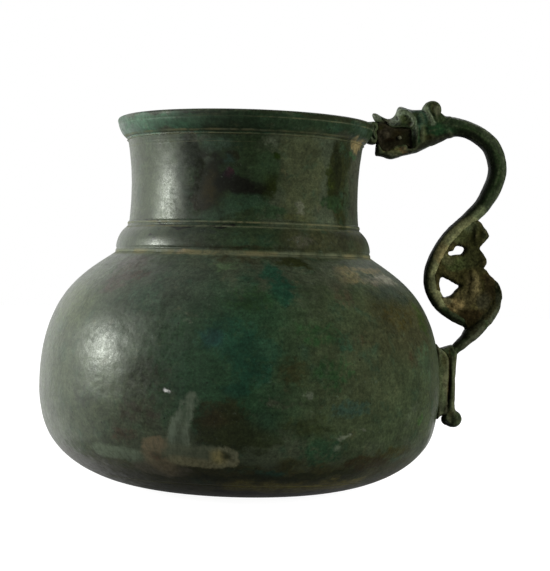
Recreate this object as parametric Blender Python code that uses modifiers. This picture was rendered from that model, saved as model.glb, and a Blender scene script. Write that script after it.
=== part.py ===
"""Bronze jug with a beast-headed handle.

A squat, wide-mouthed jug built from turned pieces that are soldered one into the next: a base dish, a body
shell, a neck tube with a collar ring round its foot, and a rim ring round its mouth. The cast handle is an
S-shaped bar that ends in a beast's head. The beast bites a lug on the rim, with solder packed in its jaws.
The lower bend of the bar holds an openwork leaf scroll, and its tail is soldered to a strap and a pad on the
belly.

The object's frame: metres, +Z up, the origin at the centre of the flat base, the handle on the +X side.
Outlines are written in millimetres, as (radius, height) or (x, height), and scaled by MM as they are built.
"""

import math

import bmesh
import bpy
from mathutils import Vector

MM = 0.001

# Driving dimensions, in millimetres
RIM_TOP = 134.8
RIM_RADIUS = 47.3
NECK_WAIST_RADIUS = 41.3
NECK_WAIST_HEIGHT = 108.0
NECK_FLARE = 0.00478  # growth of the neck's radius per square millimetre away from its waist
NECK_STEP_HEIGHT = 126.7  # the shoulder on the neck that carries the rim ring
COLLAR_TOP = 97.0
COLLAR_FOOT_RADIUS = 47.1
COLLAR_FOOT_HEIGHT = 85.6
GIRTH_RADIUS = 73.4
GIRTH_HEIGHT = 37.3
BASE_FLAT_RADIUS = 20.4
BASE_SEAM_HEIGHT = 7.7
WALL = 2.2
JOINT_GAP = 0.3  # the film of solder between two pieces
LAP_LENGTH = 3.0  # how far the base dish laps up inside the body shell

# The two curves of the belly, as lengths of their end tangents
SHOULDER_SLOPE = 0.6  # radians below the horizontal where the shoulder leaves the collar
SHOULDER_TANGENT = 13.0
SHOULDER_GIRTH_TANGENT = 32.5
UNDERSIDE_GIRTH_TANGENT = 31.5
UNDERSIDE_BASE_TANGENT = 21.9

# The handle, across its plane
HEAD_HALF_WIDTH = 4.6
SCROLL_HALF_WIDTH = 1.7
STRAP_HALF_WIDTH = 3.4
PAD_HALF_WIDTH = 6.5
LUG_HALF_WIDTH = 3.2
SOLDER_HALF_WIDTH = 3.4

TURNED_STEPS = 48
TUBE_SIDES = 3  # a curve's bevel resolution: 10 sides
SPAN_POINTS = 4  # points worked out between two control points of a smooth line


# ---------------------------------------------------------------- curves and outlines


def bezier(start, start_tangent, end_tangent, end, count):
    """Points of a cubic Bezier arc, both ends included."""
    p0, p3 = Vector(start), Vector(end)
    p1, p2 = p0 + Vector(start_tangent), p3 + Vector(end_tangent)
    points = []
    for i in range(count):
        t = i / (count - 1)
        s = 1 - t
        points.append(s**3 * p0 + 3 * s * s * t * p1 + 3 * s * t * t * p2 + t**3 * p3)
    return points


def smooth_line(controls, closed=False, per_span=SPAN_POINTS):
    """A Catmull-Rom line through control points of any dimension."""
    controls = [Vector(c) for c in controls]
    count = len(controls)
    spans = count if closed else count - 1

    def control(i):
        return controls[i % count] if closed else controls[max(0, min(count - 1, i))]

    points = []
    for i in range(spans):
        a, b, c, d = (control(i + k) for k in (-1, 0, 1, 2))
        for k in range(per_span):
            t = k / per_span
            points.append(
                0.5 * ((2 * b) + (c - a) * t + (2 * a - 5 * b + 4 * c - d) * t**2 + (3 * b - a - 3 * c + d) * t**3)
            )
    if not closed:
        points.append(controls[-1])
    return points


def with_normals(line):
    """Each point of a turned wall's outer line, with the direction into the wall there."""
    pairs = []
    last = len(line) - 1
    for i, point in enumerate(line):
        along = line[min(i + 1, last)] - line[max(i - 1, 0)]
        along.normalize()
        pairs.append((point, Vector((along.y, -along.x))))
    return pairs


def at_depth(pairs, depth):
    """The line at a depth under the outer one."""
    return [point + depth * normal for point, normal in pairs]


def add_height(pairs, height):
    """Adds a point at a height to a falling line, and says which one it is."""
    for i in range(1, len(pairs)):
        (above, normal_above), (below, normal_below) = pairs[i - 1], pairs[i]
        if below.y < height:
            share = (above.y - height) / (above.y - below.y)
            pairs.insert(i, (above.lerp(below, share), normal_above.lerp(normal_below, share).normalized()))
            return i
    raise ValueError("the line never falls to that height")


def neck_radius(height):
    return NECK_WAIST_RADIUS + NECK_FLARE * (height - NECK_WAIST_HEIGHT) ** 2


def shoulder_line():
    """From the collar's foot down to the girth."""
    return bezier(
        (COLLAR_FOOT_RADIUS, COLLAR_FOOT_HEIGHT),
        (SHOULDER_TANGENT * math.cos(SHOULDER_SLOPE), -SHOULDER_TANGENT * math.sin(SHOULDER_SLOPE)),
        (0, SHOULDER_GIRTH_TANGENT),
        (GIRTH_RADIUS, GIRTH_HEIGHT),
        10,
    )


def underside_line():
    """From the girth down to the edge of the flat base."""
    return bezier(
        (GIRTH_RADIUS, GIRTH_HEIGHT),
        (0, -UNDERSIDE_GIRTH_TANGENT),
        (UNDERSIDE_BASE_TANGENT, 0),
        (BASE_FLAT_RADIUS, 0),
        15,
    )


# ---------------------------------------------------------------- Blender objects


def clear_scene():
    for obj in list(bpy.data.objects):
        bpy.data.objects.remove(obj)


def collection(name, hidden=False):
    made = bpy.data.collections.new(name)
    made.hide_render = hidden
    bpy.context.scene.collection.children.link(made)
    return made


def metal(name, colour, roughness, metallic):
    material = bpy.data.materials.new(name)
    material.use_nodes = True
    shader = material.node_tree.nodes["Principled BSDF"]
    shader.inputs["Base Color"].default_value = (*colour, 1)
    shader.inputs["Roughness"].default_value = roughness
    shader.inputs["Metallic"].default_value = metallic
    return material


def place(name, data, into, material=None):
    obj = bpy.data.objects.new(name, data)
    into.objects.link(obj)
    if material:
        data.materials.append(material)
    if into.hide_render:
        obj.hide_render = True
        obj.display_type = "WIRE"
    return obj


def turned(name, outline, into, material=None, ring=True):
    """A solid of revolution about Z. The outline runs down its outer side; a ring's outline is closed."""
    mesh = bpy.data.meshes.new(name)
    points = [(r * MM, 0, z * MM) for r, z in outline]
    edges = [(i, i + 1) for i in range(len(points) - 1)]
    if ring:
        edges.append((len(points) - 1, 0))
    mesh.from_pydata(points, edges, [])
    obj = place(name, mesh, into, material)
    screw = obj.modifiers.new("Turned", "SCREW")
    screw.axis = "Z"
    screw.angle = math.tau
    screw.steps = screw.render_steps = TURNED_STEPS
    screw.use_merge_vertices = True
    screw.merge_threshold = 0.00001
    screw.use_smooth_shade = True
    return obj


def tube(name, line, into, material=None, extra=0.0):
    """A round bar in the handle's plane through (x, height, radius) points."""
    curve = bpy.data.curves.new(name, "CURVE")
    curve.dimensions = "3D"
    curve.bevel_depth = MM
    curve.bevel_resolution = TUBE_SIDES
    curve.use_fill_caps = True
    spline = curve.splines.new("POLY")
    spline.points.add(len(line) - 1)
    for point, (x, z, radius) in zip(spline.points, line):
        point.co = (x * MM, 0, z * MM, 1)
        point.radius = radius + extra
    return place(name, curve, into, material)


def slab(name, outlines, half_width, into, material=None):
    """Flat outlines in the handle's plane, the first one with the others as holes, given a thickness."""
    curve = bpy.data.curves.new(name, "CURVE")
    curve.dimensions = "2D"
    curve.fill_mode = "BOTH"
    curve.extrude = half_width * MM
    for outline in outlines:
        spline = curve.splines.new("POLY")
        spline.points.add(len(outline) - 1)
        for point, (x, z) in zip(spline.points, outline):
            point.co = (x * MM, z * MM, 0, 1)
        spline.use_cyclic_u = True
    obj = place(name, curve, into, material)
    obj.rotation_euler = (math.pi / 2, 0, 0)
    return obj


def ball(name, centre, radii, into):
    """An ellipsoid, as a helper that a Boolean joins on or cuts away."""
    mesh = bpy.data.meshes.new(name)
    shape = bmesh.new()
    bmesh.ops.create_uvsphere(shape, u_segments=14, v_segments=8, radius=1)
    for vertex in shape.verts:
        vertex.co = Vector([(c + r * v) * MM for c, r, v in zip(centre, radii, vertex.co)])
    shape.to_mesh(mesh)
    shape.free()
    return place(name, mesh, into)


def as_mesh(curve_object):
    """The same object as a closed mesh, so that Booleans can take it."""
    bpy.context.view_layer.update()
    evaluated = curve_object.evaluated_get(bpy.context.evaluated_depsgraph_get())
    mesh = bpy.data.meshes.new_from_object(evaluated)
    shape = bmesh.new()
    shape.from_mesh(mesh)
    bmesh.ops.remove_doubles(shape, verts=shape.verts, dist=0.000001)
    bmesh.ops.recalc_face_normals(shape, faces=shape.faces)
    shape.to_mesh(mesh)
    shape.free()
    name, home = curve_object.name, curve_object.users_collection[0]
    matrix = curve_object.matrix_world.copy()
    bpy.data.objects.remove(curve_object)
    obj = place(name, mesh, home)
    obj.matrix_world = matrix
    return obj


def boolean(obj, operation, other):
    modifier = obj.modifiers.new(f"{operation.title()} {other.name}", "BOOLEAN")
    modifier.operation = operation
    modifier.solver = "EXACT"
    modifier.object = other


# ---------------------------------------------------------------- the vessel


def seamed_wall():
    """The belly's wall, with the indices of the four edges of the lap seam between shell and dish."""
    pairs = with_normals([*shoulder_line(), *underside_line()[1:]])
    heights = (LAP_LENGTH + JOINT_GAP, LAP_LENGTH, JOINT_GAP, 0)
    return pairs, [add_height(pairs, BASE_SEAM_HEIGHT + height) for height in heights]


def base_dish(into, material):
    """The bottom of the jug. Its edge is halved, and laps up inside the body shell."""
    pairs, (_, lap, _, seam) = seamed_wall()
    half = (WALL + JOINT_GAP) / 2
    inside = at_depth(pairs[lap:], WALL)[::-1]
    outline = [Vector((0, WALL)), *inside, *at_depth(pairs[lap : seam + 1], half)]
    outline += [*at_depth(pairs[seam:], 0), Vector((0, 0))]
    return turned("base_dish", outline, into, material, ring=False)


def body_shell(into, material):
    """Belly and shoulder. Its top is a flat seat, under the collar ring and round the neck's foot."""
    pairs, (lap, _, seam, _) = seamed_wall()
    half = (WALL - JOINT_GAP) / 2
    hole = neck_radius(COLLAR_TOP) + 0.3 + JOINT_GAP
    inside = at_depth(pairs[: lap + 1], WALL)[::-1]
    outline = [Vector((hole, COLLAR_FOOT_HEIGHT)), *at_depth(pairs[: seam + 1], 0)]
    outline += [*at_depth(pairs[lap : seam + 1], half)[::-1], *inside, Vector((hole, inside[-1].y - 0.4))]
    return turned("body_shell", outline, into, material)


def neck_tube(into, material):
    """The neck: waisted, with its foot inside the collar and its stepped top inside the rim ring."""
    foot = neck_radius(COLLAR_TOP) + 0.3
    step = [Vector((42.9, RIM_TOP - 0.3)), Vector((42.5, NECK_STEP_HEIGHT))]
    heights = [NECK_STEP_HEIGHT + (COLLAR_TOP - NECK_STEP_HEIGHT) * i / 7 for i in range(8)]
    outer = [*step, *[Vector((neck_radius(z), z)) for z in heights]]
    outer += [Vector((foot, COLLAR_TOP - 0.4)), Vector((foot, COLLAR_FOOT_HEIGHT - 3.4))]
    inner = [Vector((foot - WALL, COLLAR_FOOT_HEIGHT - 3.4))]
    inner += [Vector((neck_radius(z) - WALL, z)) for z in reversed(heights)]
    inner += [Vector((41.1, RIM_TOP - 0.3))]
    return turned("neck_tube", [*outer, *inner], into, material)


def collar_ring(into, material):
    """The moulding round the neck's foot: a bead at each edge and a swelling face between them."""
    bore = neck_radius(COLLAR_TOP) + 0.3 + JOINT_GAP
    foot = COLLAR_FOOT_HEIGHT + JOINT_GAP
    swelling = [(44.1, 94.4), (45.3, 92.8), (46.2, 90.1), (46.7, 87.4)]
    outline = [(bore, COLLAR_TOP), (42.95, COLLAR_TOP), (43.25, 96.4), (43.1, 95.9), (43.7, 95.3)]
    outline += [*swelling, (46.8, 86.8), (47.1, 86.4), (47.0, foot), (bore, foot)]
    return turned("collar_ring", [Vector(p) for p in outline], into, material)


def rim_ring(into, material):
    """The flared lip: a narrow top band, a hollow face below it and a double bead where it meets the neck."""
    foot = NECK_STEP_HEIGHT + JOINT_GAP
    outline = [(43.2, RIM_TOP - 0.3), (43.6, RIM_TOP), (46.4, RIM_TOP), (47.15, RIM_TOP - 0.5)]
    outline += [(RIM_RADIUS, RIM_TOP - 1.3), (46.9, 132.1), (46.6, 131.5), (46.3, 130.6), (45.2, 129.2)]
    outline += [(44.4, 128.2), (44.35, 127.8), (43.95, 127.5), (43.8, foot), (42.85, foot)]
    return turned("rim_ring", [Vector(p) for p in outline], into, material)


def vessel_cutter(name, outer, clearance, into):
    """A solid of revolution that stands proud of the vessel's outside, to cut what is fitted against it."""
    grown = at_depth(with_normals(outer), -clearance)
    outline = [Vector((0, grown[0].y)), *grown, Vector((0, grown[-1].y))]
    return turned(name, outline, into, ring=False)


# ---------------------------------------------------------------- the handle

# Middle line of the S-shaped bar, from inside the head to the turn at the foot of the scroll: x, height, radius
BAR = [
    (63.0, 132.3, 4.6), (69.0, 133.7, 4.8), (74.5, 135.0, 3.9), (80.0, 134.7, 3.3), (86.0, 132.1, 3.1),
    (91.0, 127.0, 3.15), (93.3, 120.3, 3.15), (92.0, 113.2, 3.15), (88.2, 106.8, 3.1), (82.6, 101.0, 3.0),
    (77.2, 95.2, 2.7), (72.8, 88.4, 2.5), (70.0, 81.5, 2.4), (70.3, 75.0, 2.4), (73.3, 69.3, 2.4),
    (78.2, 65.2, 2.3), (84.2, 62.4, 2.4), (87.0, 61.2, 2.4),
]  # fmt: skip
# The stem that leaves the scroll's foot for the strap
STEM = [(87.4, 63.0, 2.2), (86.6, 61.4, 2.5), (84.3, 57.8, 2.3), (81.0, 55.0, 2.2), (78.5, 52.3, 2.1), (78.1, 51.0, 2.0)]

# The head in side view: snout, brow, crown, throat, chin, and the gape between the jaws
HEAD = [
    (61.0, 133.2), (56.0, 134.2), (51.0, 134.7), (48.2, 136.2), (46.9, 138.4), (47.6, 139.2), (49.6, 138.2),
    (52.4, 137.4), (54.6, 138.5), (55.8, 141.4), (56.8, 141.8), (60.5, 140.8), (65.0, 140.3), (69.0, 138.6),
    (70.5, 134.0), (69.0, 128.6), (65.0, 126.5), (59.5, 124.3), (54.0, 122.9), (50.5, 123.6), (48.4, 124.3),
    (48.5, 126.4), (50.6, 126.9), (54.5, 127.5), (59.0, 128.3), (61.8, 130.0),
]  # fmt: skip
EAR_CENTRE = (68.9, 3.0, 140.4)
EAR_RADII = (3.0, 1.5, 3.9)
EYE_CENTRE = (58.4, 4.4, 137.0)
EYE_RADII = (2.5, 1.0, 2.3)

# The leaf scroll's outer edge: two lobes, then the swelling tail; its left side is hidden behind the bar
SCROLL_EDGE = [
    (84.5, 102.0), (86.9, 100.2), (89.2, 97.9), (90.8, 95.0), (89.4, 92.6), (87.7, 90.3), (89.2, 87.5),
    (90.1, 85.6), (89.1, 83.2), (91.2, 81.0), (94.2, 77.4), (95.8, 72.6), (95.2, 67.8), (92.6, 63.0),
    (88.6, 59.2), (86.6, 61.6), (80.0, 64.2), (74.0, 68.4), (70.2, 75.0), (69.9, 81.6), (72.7, 88.6),
    (77.2, 95.4), (81.0, 99.6),
]  # fmt: skip
SCROLL_HOLE_UPPER = [(75.9, 87.7), (77.6, 89.5), (79.0, 91.2), (81.6, 90.3), (80.9, 88.0), (78.6, 87.7)]
SCROLL_HOLE_LOWER = [(73.6, 79.0), (77.0, 77.7), (80.0, 76.2), (77.8, 73.8), (75.5, 72.3), (73.4, 74.6), (72.9, 77.2)]

# The strap and the pad on the belly, in side view
STRAP = [
    (77.3, 50.6), (79.9, 50.0), (79.4, 47.5), (79.3, 42.0), (79.3, 35.0), (79.4, 30.0), (77.6, 27.0),
    (75.9, 28.4), (75.9, 31.5), (76.1, 34.6), (77.0, 38.4), (77.1, 42.0), (76.6, 46.6), (75.6, 50.2),
]  # fmt: skip
STRAP_KNOB_CENTRE = (79.0, 0, 27.3)
STRAP_KNOB_RADII = (3.4, 3.3, 3.1)
PAD = [
    (70.0, 52.4), (74.4, 52.2), (75.6, 48.6), (76.5, 44.4), (76.7, 41.0), (76.4, 37.6), (75.5, 34.0),
    (75.3, 30.0), (75.2, 28.2), (70.0, 28.2),
]  # fmt: skip

# The lug cast on the rim, and the solder packed between it and the throat
LUG = [(44.0, 134.4), (48.6, 134.0), (48.9, 131.0), (48.5, 128.6), (44.0, 128.4)]
JAW_SOLDER = [
    (49.2, 134.2), (53.5, 134.0), (58.0, 133.2), (60.6, 131.9), (60.8, 130.4), (58.6, 129.0), (54.4, 128.2),
    (50.6, 127.6), (49.0, 128.6), (49.4, 131.0),
]  # fmt: skip


def handle_casting(into, helpers, material):
    """Beast's head, S-shaped bar and stem: one casting."""
    bar = as_mesh(tube("handle_casting", smooth_line(BAR), into))
    bar.data.materials.append(material)
    boolean(bar, "UNION", as_mesh(tube("stem", smooth_line(STEM), helpers)))
    boolean(bar, "UNION", as_mesh(slab("head", [smooth_line(HEAD, closed=True, per_span=2)], HEAD_HALF_WIDTH, helpers)))
    for side, sign in (("left", 1), ("right", -1)):
        for feature, (x, y, z), radii in (("ear", EAR_CENTRE, EAR_RADII), ("eye", EYE_CENTRE, EYE_RADII)):
            boolean(bar, "UNION", ball(f"{side}_{feature}", (x, sign * y, z), radii, helpers))
    return bar


def leaf_scroll(into, helpers, material):
    """The openwork in the bar's lower bend, cut back from the bar and the stem by a film of solder."""
    holes = [smooth_line(hole, closed=True, per_span=2) for hole in (SCROLL_HOLE_UPPER, SCROLL_HOLE_LOWER)]
    edge = smooth_line(SCROLL_EDGE, closed=True, per_span=2)
    scroll = as_mesh(slab("leaf_scroll", [edge, *holes], SCROLL_HALF_WIDTH, into))
    scroll.data.materials.append(material)
    for name, line in (("bar_clearance", BAR), ("stem_clearance", STEM)):
        boolean(scroll, "DIFFERENCE", as_mesh(tube(name, smooth_line(line), helpers, extra=JOINT_GAP)))
    return scroll


def foot_strap(into, helpers, material):
    """The strap that the stem stands on, down to its turned-out knob."""
    strap = as_mesh(slab("foot_strap", [smooth_line(STRAP, closed=True, per_span=2)], STRAP_HALF_WIDTH, into))
    strap.data.materials.append(material)
    boolean(strap, "UNION", ball("strap_knob", STRAP_KNOB_CENTRE, STRAP_KNOB_RADII, helpers))
    return strap


def fitted_slab(name, outline, half_width, cutter, into, material):
    """A slab whose inner end is cut to the vessel's round."""
    piece = as_mesh(slab(name, [outline], half_width, into))
    piece.data.materials.append(material)
    boolean(piece, "DIFFERENCE", cutter)
    return piece


def main():
    clear_scene()
    parts = collection("Bronze jug")
    helpers = collection("Helpers", hidden=True)
    vessel = metal("Vessel bronze, green patina", (0.075, 0.105, 0.07), 0.42, 0.55)
    casting = metal("Handle bronze, green patina", (0.07, 0.11, 0.07), 0.5, 0.5)
    leaf = metal("Leaf bronze, earthy crust", (0.13, 0.11, 0.06), 0.75, 0.2)
    solder = metal("Old solder, brown", (0.12, 0.10, 0.065), 0.8, 0.1)

    base_dish(parts, vessel)
    body_shell(parts, vessel)
    neck_tube(parts, vessel)
    collar_ring(parts, vessel)
    rim_ring(parts, vessel)

    belly = vessel_cutter("belly_clearance", [*shoulder_line(), *underside_line()[1:]], JOINT_GAP, helpers)
    lip = [Vector(p) for p in ((43.6, RIM_TOP + 2), (46.4, RIM_TOP + 2), (RIM_RADIUS, RIM_TOP - 1.3), (46.9, 132.1))]
    lip += [Vector(p) for p in ((46.3, 130.6), (44.4, 128.2), (43.8, 125.0))]
    rim = vessel_cutter("rim_clearance", lip, JOINT_GAP, helpers)

    handle_casting(parts, helpers, casting)
    leaf_scroll(parts, helpers, leaf)
    foot_strap(parts, helpers, casting)
    fitted_slab("foot_pad", smooth_line(PAD, per_span=1), PAD_HALF_WIDTH, belly, parts, solder)
    fitted_slab("rim_lug", smooth_line(LUG, per_span=1), LUG_HALF_WIDTH, rim, parts, casting)
    jaw_fill = as_mesh(slab("jaw_solder", [smooth_line(JAW_SOLDER, closed=True, per_span=2)], SOLDER_HALF_WIDTH, parts))
    jaw_fill.data.materials.append(solder)


main()
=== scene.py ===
"""The bronze jug's looks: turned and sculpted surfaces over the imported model, patina, light and camera.

Lengths are millimetres, in the part's frame, until a mesh is made. A place on the turned vessel is an
azimuth in degrees (0 faces -Y, 90 the handle) and a height. A place on the handle is x and height, in
the plane Y = 0.
"""

import math

import bpy
import numpy as np
from mathutils import Matrix, Vector, noise


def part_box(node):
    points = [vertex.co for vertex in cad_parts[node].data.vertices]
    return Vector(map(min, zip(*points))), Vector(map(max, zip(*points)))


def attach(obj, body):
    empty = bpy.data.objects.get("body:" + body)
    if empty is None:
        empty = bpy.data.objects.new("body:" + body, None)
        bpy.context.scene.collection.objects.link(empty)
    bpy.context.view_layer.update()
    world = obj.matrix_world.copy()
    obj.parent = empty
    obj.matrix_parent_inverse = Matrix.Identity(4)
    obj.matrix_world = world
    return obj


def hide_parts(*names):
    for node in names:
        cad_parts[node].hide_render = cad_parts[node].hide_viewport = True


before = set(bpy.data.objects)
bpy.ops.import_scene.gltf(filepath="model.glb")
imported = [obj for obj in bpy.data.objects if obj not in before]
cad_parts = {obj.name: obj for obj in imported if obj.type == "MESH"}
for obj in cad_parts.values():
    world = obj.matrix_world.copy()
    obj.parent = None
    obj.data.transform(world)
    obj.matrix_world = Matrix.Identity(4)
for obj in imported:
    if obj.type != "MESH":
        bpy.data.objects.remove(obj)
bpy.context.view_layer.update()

MM = 0.001
# A lamp or a camera looks down its own -Z, with its Y up
AIMED = "Z", "Y"

# The turned vessel
WALL = 2.2
RIM_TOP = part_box("rim_ring")[1].z / MM
GIRTH_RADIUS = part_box("body_shell")[1].y / MM
GIRTH_HEIGHT = 37.3
COLLAR_FOOT_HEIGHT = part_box("body_shell")[1].z / MM
COLLAR_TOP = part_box("collar_ring")[1].z / MM
NECK_WAIST_RADIUS = 41.75
NECK_WAIST_HEIGHT = 108.0
NECK_FLARE = 0.00478
NECK_TOP = 127.0
BASE_FLAT_RADIUS = 20.4
BASE_SEAM_HEIGHT = 7.7
SEAM_GAP = 0.04
LAP_HEIGHT = 3.0
LAP_THICKNESS = 1.0
LAP_PLAY = 0.06
STEPS = 360
OUTSIDE_SPACING = 0.75
INSIDE_SPACING = 1.6

# The sculpted handle: the size of the grid that its pieces are skinned on
HANDLE_VOXEL = 0.3
LEAF_VOXEL = 0.22
SLAB_HALF_WIDTH = 3.0

# The stage and the camera
FLOOR_HALF = 3000.0
FLOOR_DEPTH = 0.05
EYE = (12.2, -581.0, 77.2)
AIM = (12.2, 0.0, 74.7)
LENS = 98.98
LEAN = 1.5
LAMP_AIM_HEIGHT = 70.0


# ---------------- lines and noise


def bezier(start, start_tangent, end_tangent, end, count=60):
    """A cubic curve between two points, with its tangents as offsets from them."""
    t = np.linspace(0, 1, count)[:, None]
    p0, p3 = np.array(start, float), np.array(end, float)
    p1, p2 = p0 + np.array(start_tangent), p3 + np.array(end_tangent)
    return (1 - t) ** 3 * p0 + 3 * (1 - t) ** 2 * t * p1 + 3 * (1 - t) * t * t * p2 + t**3 * p3


def smooth_line(controls, closed=False, per_span=6):
    """A Catmull-Rom line through control points of any dimension."""
    c = np.array(controls, float)
    c = np.vstack([c[-1], c, c[:2]]) if closed else np.vstack([c[0], c, c[-1]])
    t = (np.arange(per_span) / per_span)[:, None]
    spans = []
    for a, b, d, e in zip(c[:-3], c[1:-2], c[2:-1], c[3:]):
        square, cube = 2 * a - 5 * b + 4 * d - e, 3 * b - a - 3 * d + e
        spans.append(0.5 * (2 * b + (d - a) * t + square * t**2 + cube * t**3))
    line = np.vstack(spans)
    return line if closed else np.vstack([line, c[-2:-1]])


def resample(line, spacing):
    """The same line with evenly spaced points."""
    line = np.asarray(line, float)
    along = np.concatenate([[0], np.cumsum(np.linalg.norm(np.diff(line, axis=0), axis=1))])
    count = max(2, int(round(along[-1] / spacing)) + 1)
    wanted = np.linspace(0, along[-1], count)
    return np.stack([np.interp(wanted, along, column) for column in line.T], 1)


def soften(line, passes):
    """Rounds a line's corners, leaving its ends where they are."""
    for _ in range(passes):
        line[1:-1] = 0.5 * line[1:-1] + 0.25 * (line[:-2] + line[2:])
    return line


def directions(line):
    """Unit steps along a 2-D line and across it."""
    along = np.gradient(line, axis=0)
    along /= np.linalg.norm(along, axis=1)[:, None]
    return along, np.stack([along[:, 1], -along[:, 0]], 1)


def inside_of(outer, depth):
    """A turned wall's inner line, running back from the outer line's end to its start."""
    return (outer + depth * directions(outer)[1])[::-1]


def rough(points, size, octaves=3):
    """Fractal noise of about -1 to 1 at each point, with its largest lumps of a given size in millimetres."""
    return np.array([noise.fractal(Vector(p), 1.0, 2.0, octaves) for p in np.asarray(points) / size])


def distance_to_line(points, line):
    """Each 2-D point's distance to a line, and how far along it the nearest place is, from 0 to 1."""
    best, where = np.full(len(points), np.inf), np.zeros(len(points))
    spans = len(line) - 1
    for i in range(spans):
        a, step = line[i], line[i + 1] - line[i]
        share = np.clip((points - a) @ step / max(step @ step, 1e-9), 0, 1)
        gap = np.linalg.norm(points - a - share[:, None] * step, axis=1)
        nearer = gap < best
        best[nearer] = gap[nearer]
        where[nearer] = (i + share[nearer]) / spans
    return best, where


def fade(value, low, high):
    """0 below low, 1 above high, and smooth between."""
    t = np.clip((value - low) / (high - low), 0, 1)
    return t * t * (3 - 2 * t)


# ---------------- meshes


def placed(name, data):
    """A new object in the scene."""
    obj = bpy.data.objects.new(name, data)
    bpy.context.scene.collection.objects.link(obj)
    return obj


def make_mesh(name, points, faces):
    mesh = bpy.data.meshes.new(name)
    mesh.from_pydata((np.asarray(points) * MM).tolist(), [], faces)
    mesh.shade_smooth()
    return placed(name, mesh)


def evaluated(obj):
    """A new mesh of the shape that an object shows."""
    return bpy.data.meshes.new_from_object(obj.evaluated_get(bpy.context.evaluated_depsgraph_get()))


def coordinates(obj):
    co = np.empty(len(obj.data.vertices) * 3, np.float32)
    obj.data.vertices.foreach_get("co", co)
    return co.reshape(-1, 3).astype(float) / MM


def set_coordinates(obj, co):
    obj.data.vertices.foreach_set("co", (co * MM).astype(np.float32).ravel())
    obj.data.update()


def normals(obj):
    n = np.empty(len(obj.data.vertices) * 3, np.float32)
    obj.data.vertex_normals.foreach_get("vector", n)
    return n.reshape(-1, 3).astype(float)


def store(obj, name, values):
    """Keeps one number, or one colour with its cover, at each vertex."""
    kind, field = ("FLOAT", "value") if values.ndim == 1 else ("FLOAT_COLOR", "color")
    attribute = obj.data.attributes.new(name, kind, "POINT")
    attribute.data.foreach_set(field, values.astype(np.float32).ravel())


def neighbour_mean(obj, values, passes):
    """Vertex values, each averaged with its neighbours a number of times."""
    edges = np.empty(len(obj.data.edges) * 2, np.int32)
    obj.data.edges.foreach_get("vertices", edges)
    a, b = edges.reshape(-1, 2).T
    count = len(values)
    degree = np.maximum(np.bincount(a, minlength=count) + np.bincount(b, minlength=count), 1)

    def sums(at, column):
        return np.bincount(at, weights=column, minlength=count)

    for _ in range(passes):
        total = [sums(a, column[b]) + sums(b, column[a]) for column in values.T]
        values = 0.5 * values + 0.5 * np.stack(total, 1) / degree[:, None]
    return values


def store_relief(obj, passes=14, full=0.12):
    """How far each vertex stands above its surroundings, from -1 in a crease to 1 on a ridge."""
    co = coordinates(obj)
    height = np.einsum("ij,ij->i", co - neighbour_mean(obj, co, passes), normals(obj))
    store(obj, "relief", np.clip(height / full, -1, 1))


# ---------------- the turned vessel


def neck_radius(height):
    return NECK_WAIST_RADIUS + NECK_FLARE * (height - NECK_WAIST_HEIGHT) ** 2


def belly_line():
    """The outside, from the collar's foot over the girth to the edge of the flat base."""
    girth = GIRTH_RADIUS, GIRTH_HEIGHT
    shoulder = bezier((47.1, COLLAR_FOOT_HEIGHT), (10.73, -7.34), (0, 32.5), girth, 120)
    underside = bezier(girth, (0, -31.5), (21.9, 0), (BASE_FLAT_RADIUS, 0), 160)
    return np.vstack([shoulder, underside[1:]])


def cut_line(line, top, bottom):
    """The part of a falling line between two heights, with points at exactly those heights."""
    fall = line[::-1]
    ends = [[np.interp(height, fall[:, 1], fall[:, 0]), height] for height in (top, bottom)]
    between = line[(line[:, 1] < top - 0.01) & (line[:, 1] > bottom + 0.01)]
    return np.vstack([ends[0], between, ends[1]])


# Lines cut on the lathe: height, depth, half width. A negative depth is a bead.
TURNED_LINES = [
    (132.1, 0.07, 0.3), (127.85, -0.12, 0.25), (127.2, 0.42, 0.32), (126.6, -0.12, 0.25),
    (124.9, 0.07, 0.2), (123.9, 0.06, 0.2), (96.5, -0.1, 0.25), (95.5, 0.34, 0.3), (94.7, -0.12, 0.25),
    (87.1, 0.3, 0.35), (84.2, 0.08, 0.3),
]

# Dents and bruises: azimuth, height, reach in mm, depth in mm
DENTS = [
    (-30, 60, 9, 0.18), (-52, 45, 12, 0.2), (28, 66, 14, 0.2), (52, 30, 10, 0.16), (8, 30, 12, 0.14),
    (-17.3, 40, 0.9, 0.5), (-42, 57.4, 2.6, 0.05), (-38, 53, 2, 0.03), (-14, 24, 3, 0.1),
    (60, 58, 11, 0.18), (150, 50, 13, 0.25), (-140, 60, 12, 0.2), (-100, 35, 14, 0.2), (210, 30, 9, 0.22),
    (-24, 104, 2.2, 0.08), (16, 118, 5, 0.12), (100, 66, 8, 0.15),
]


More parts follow.
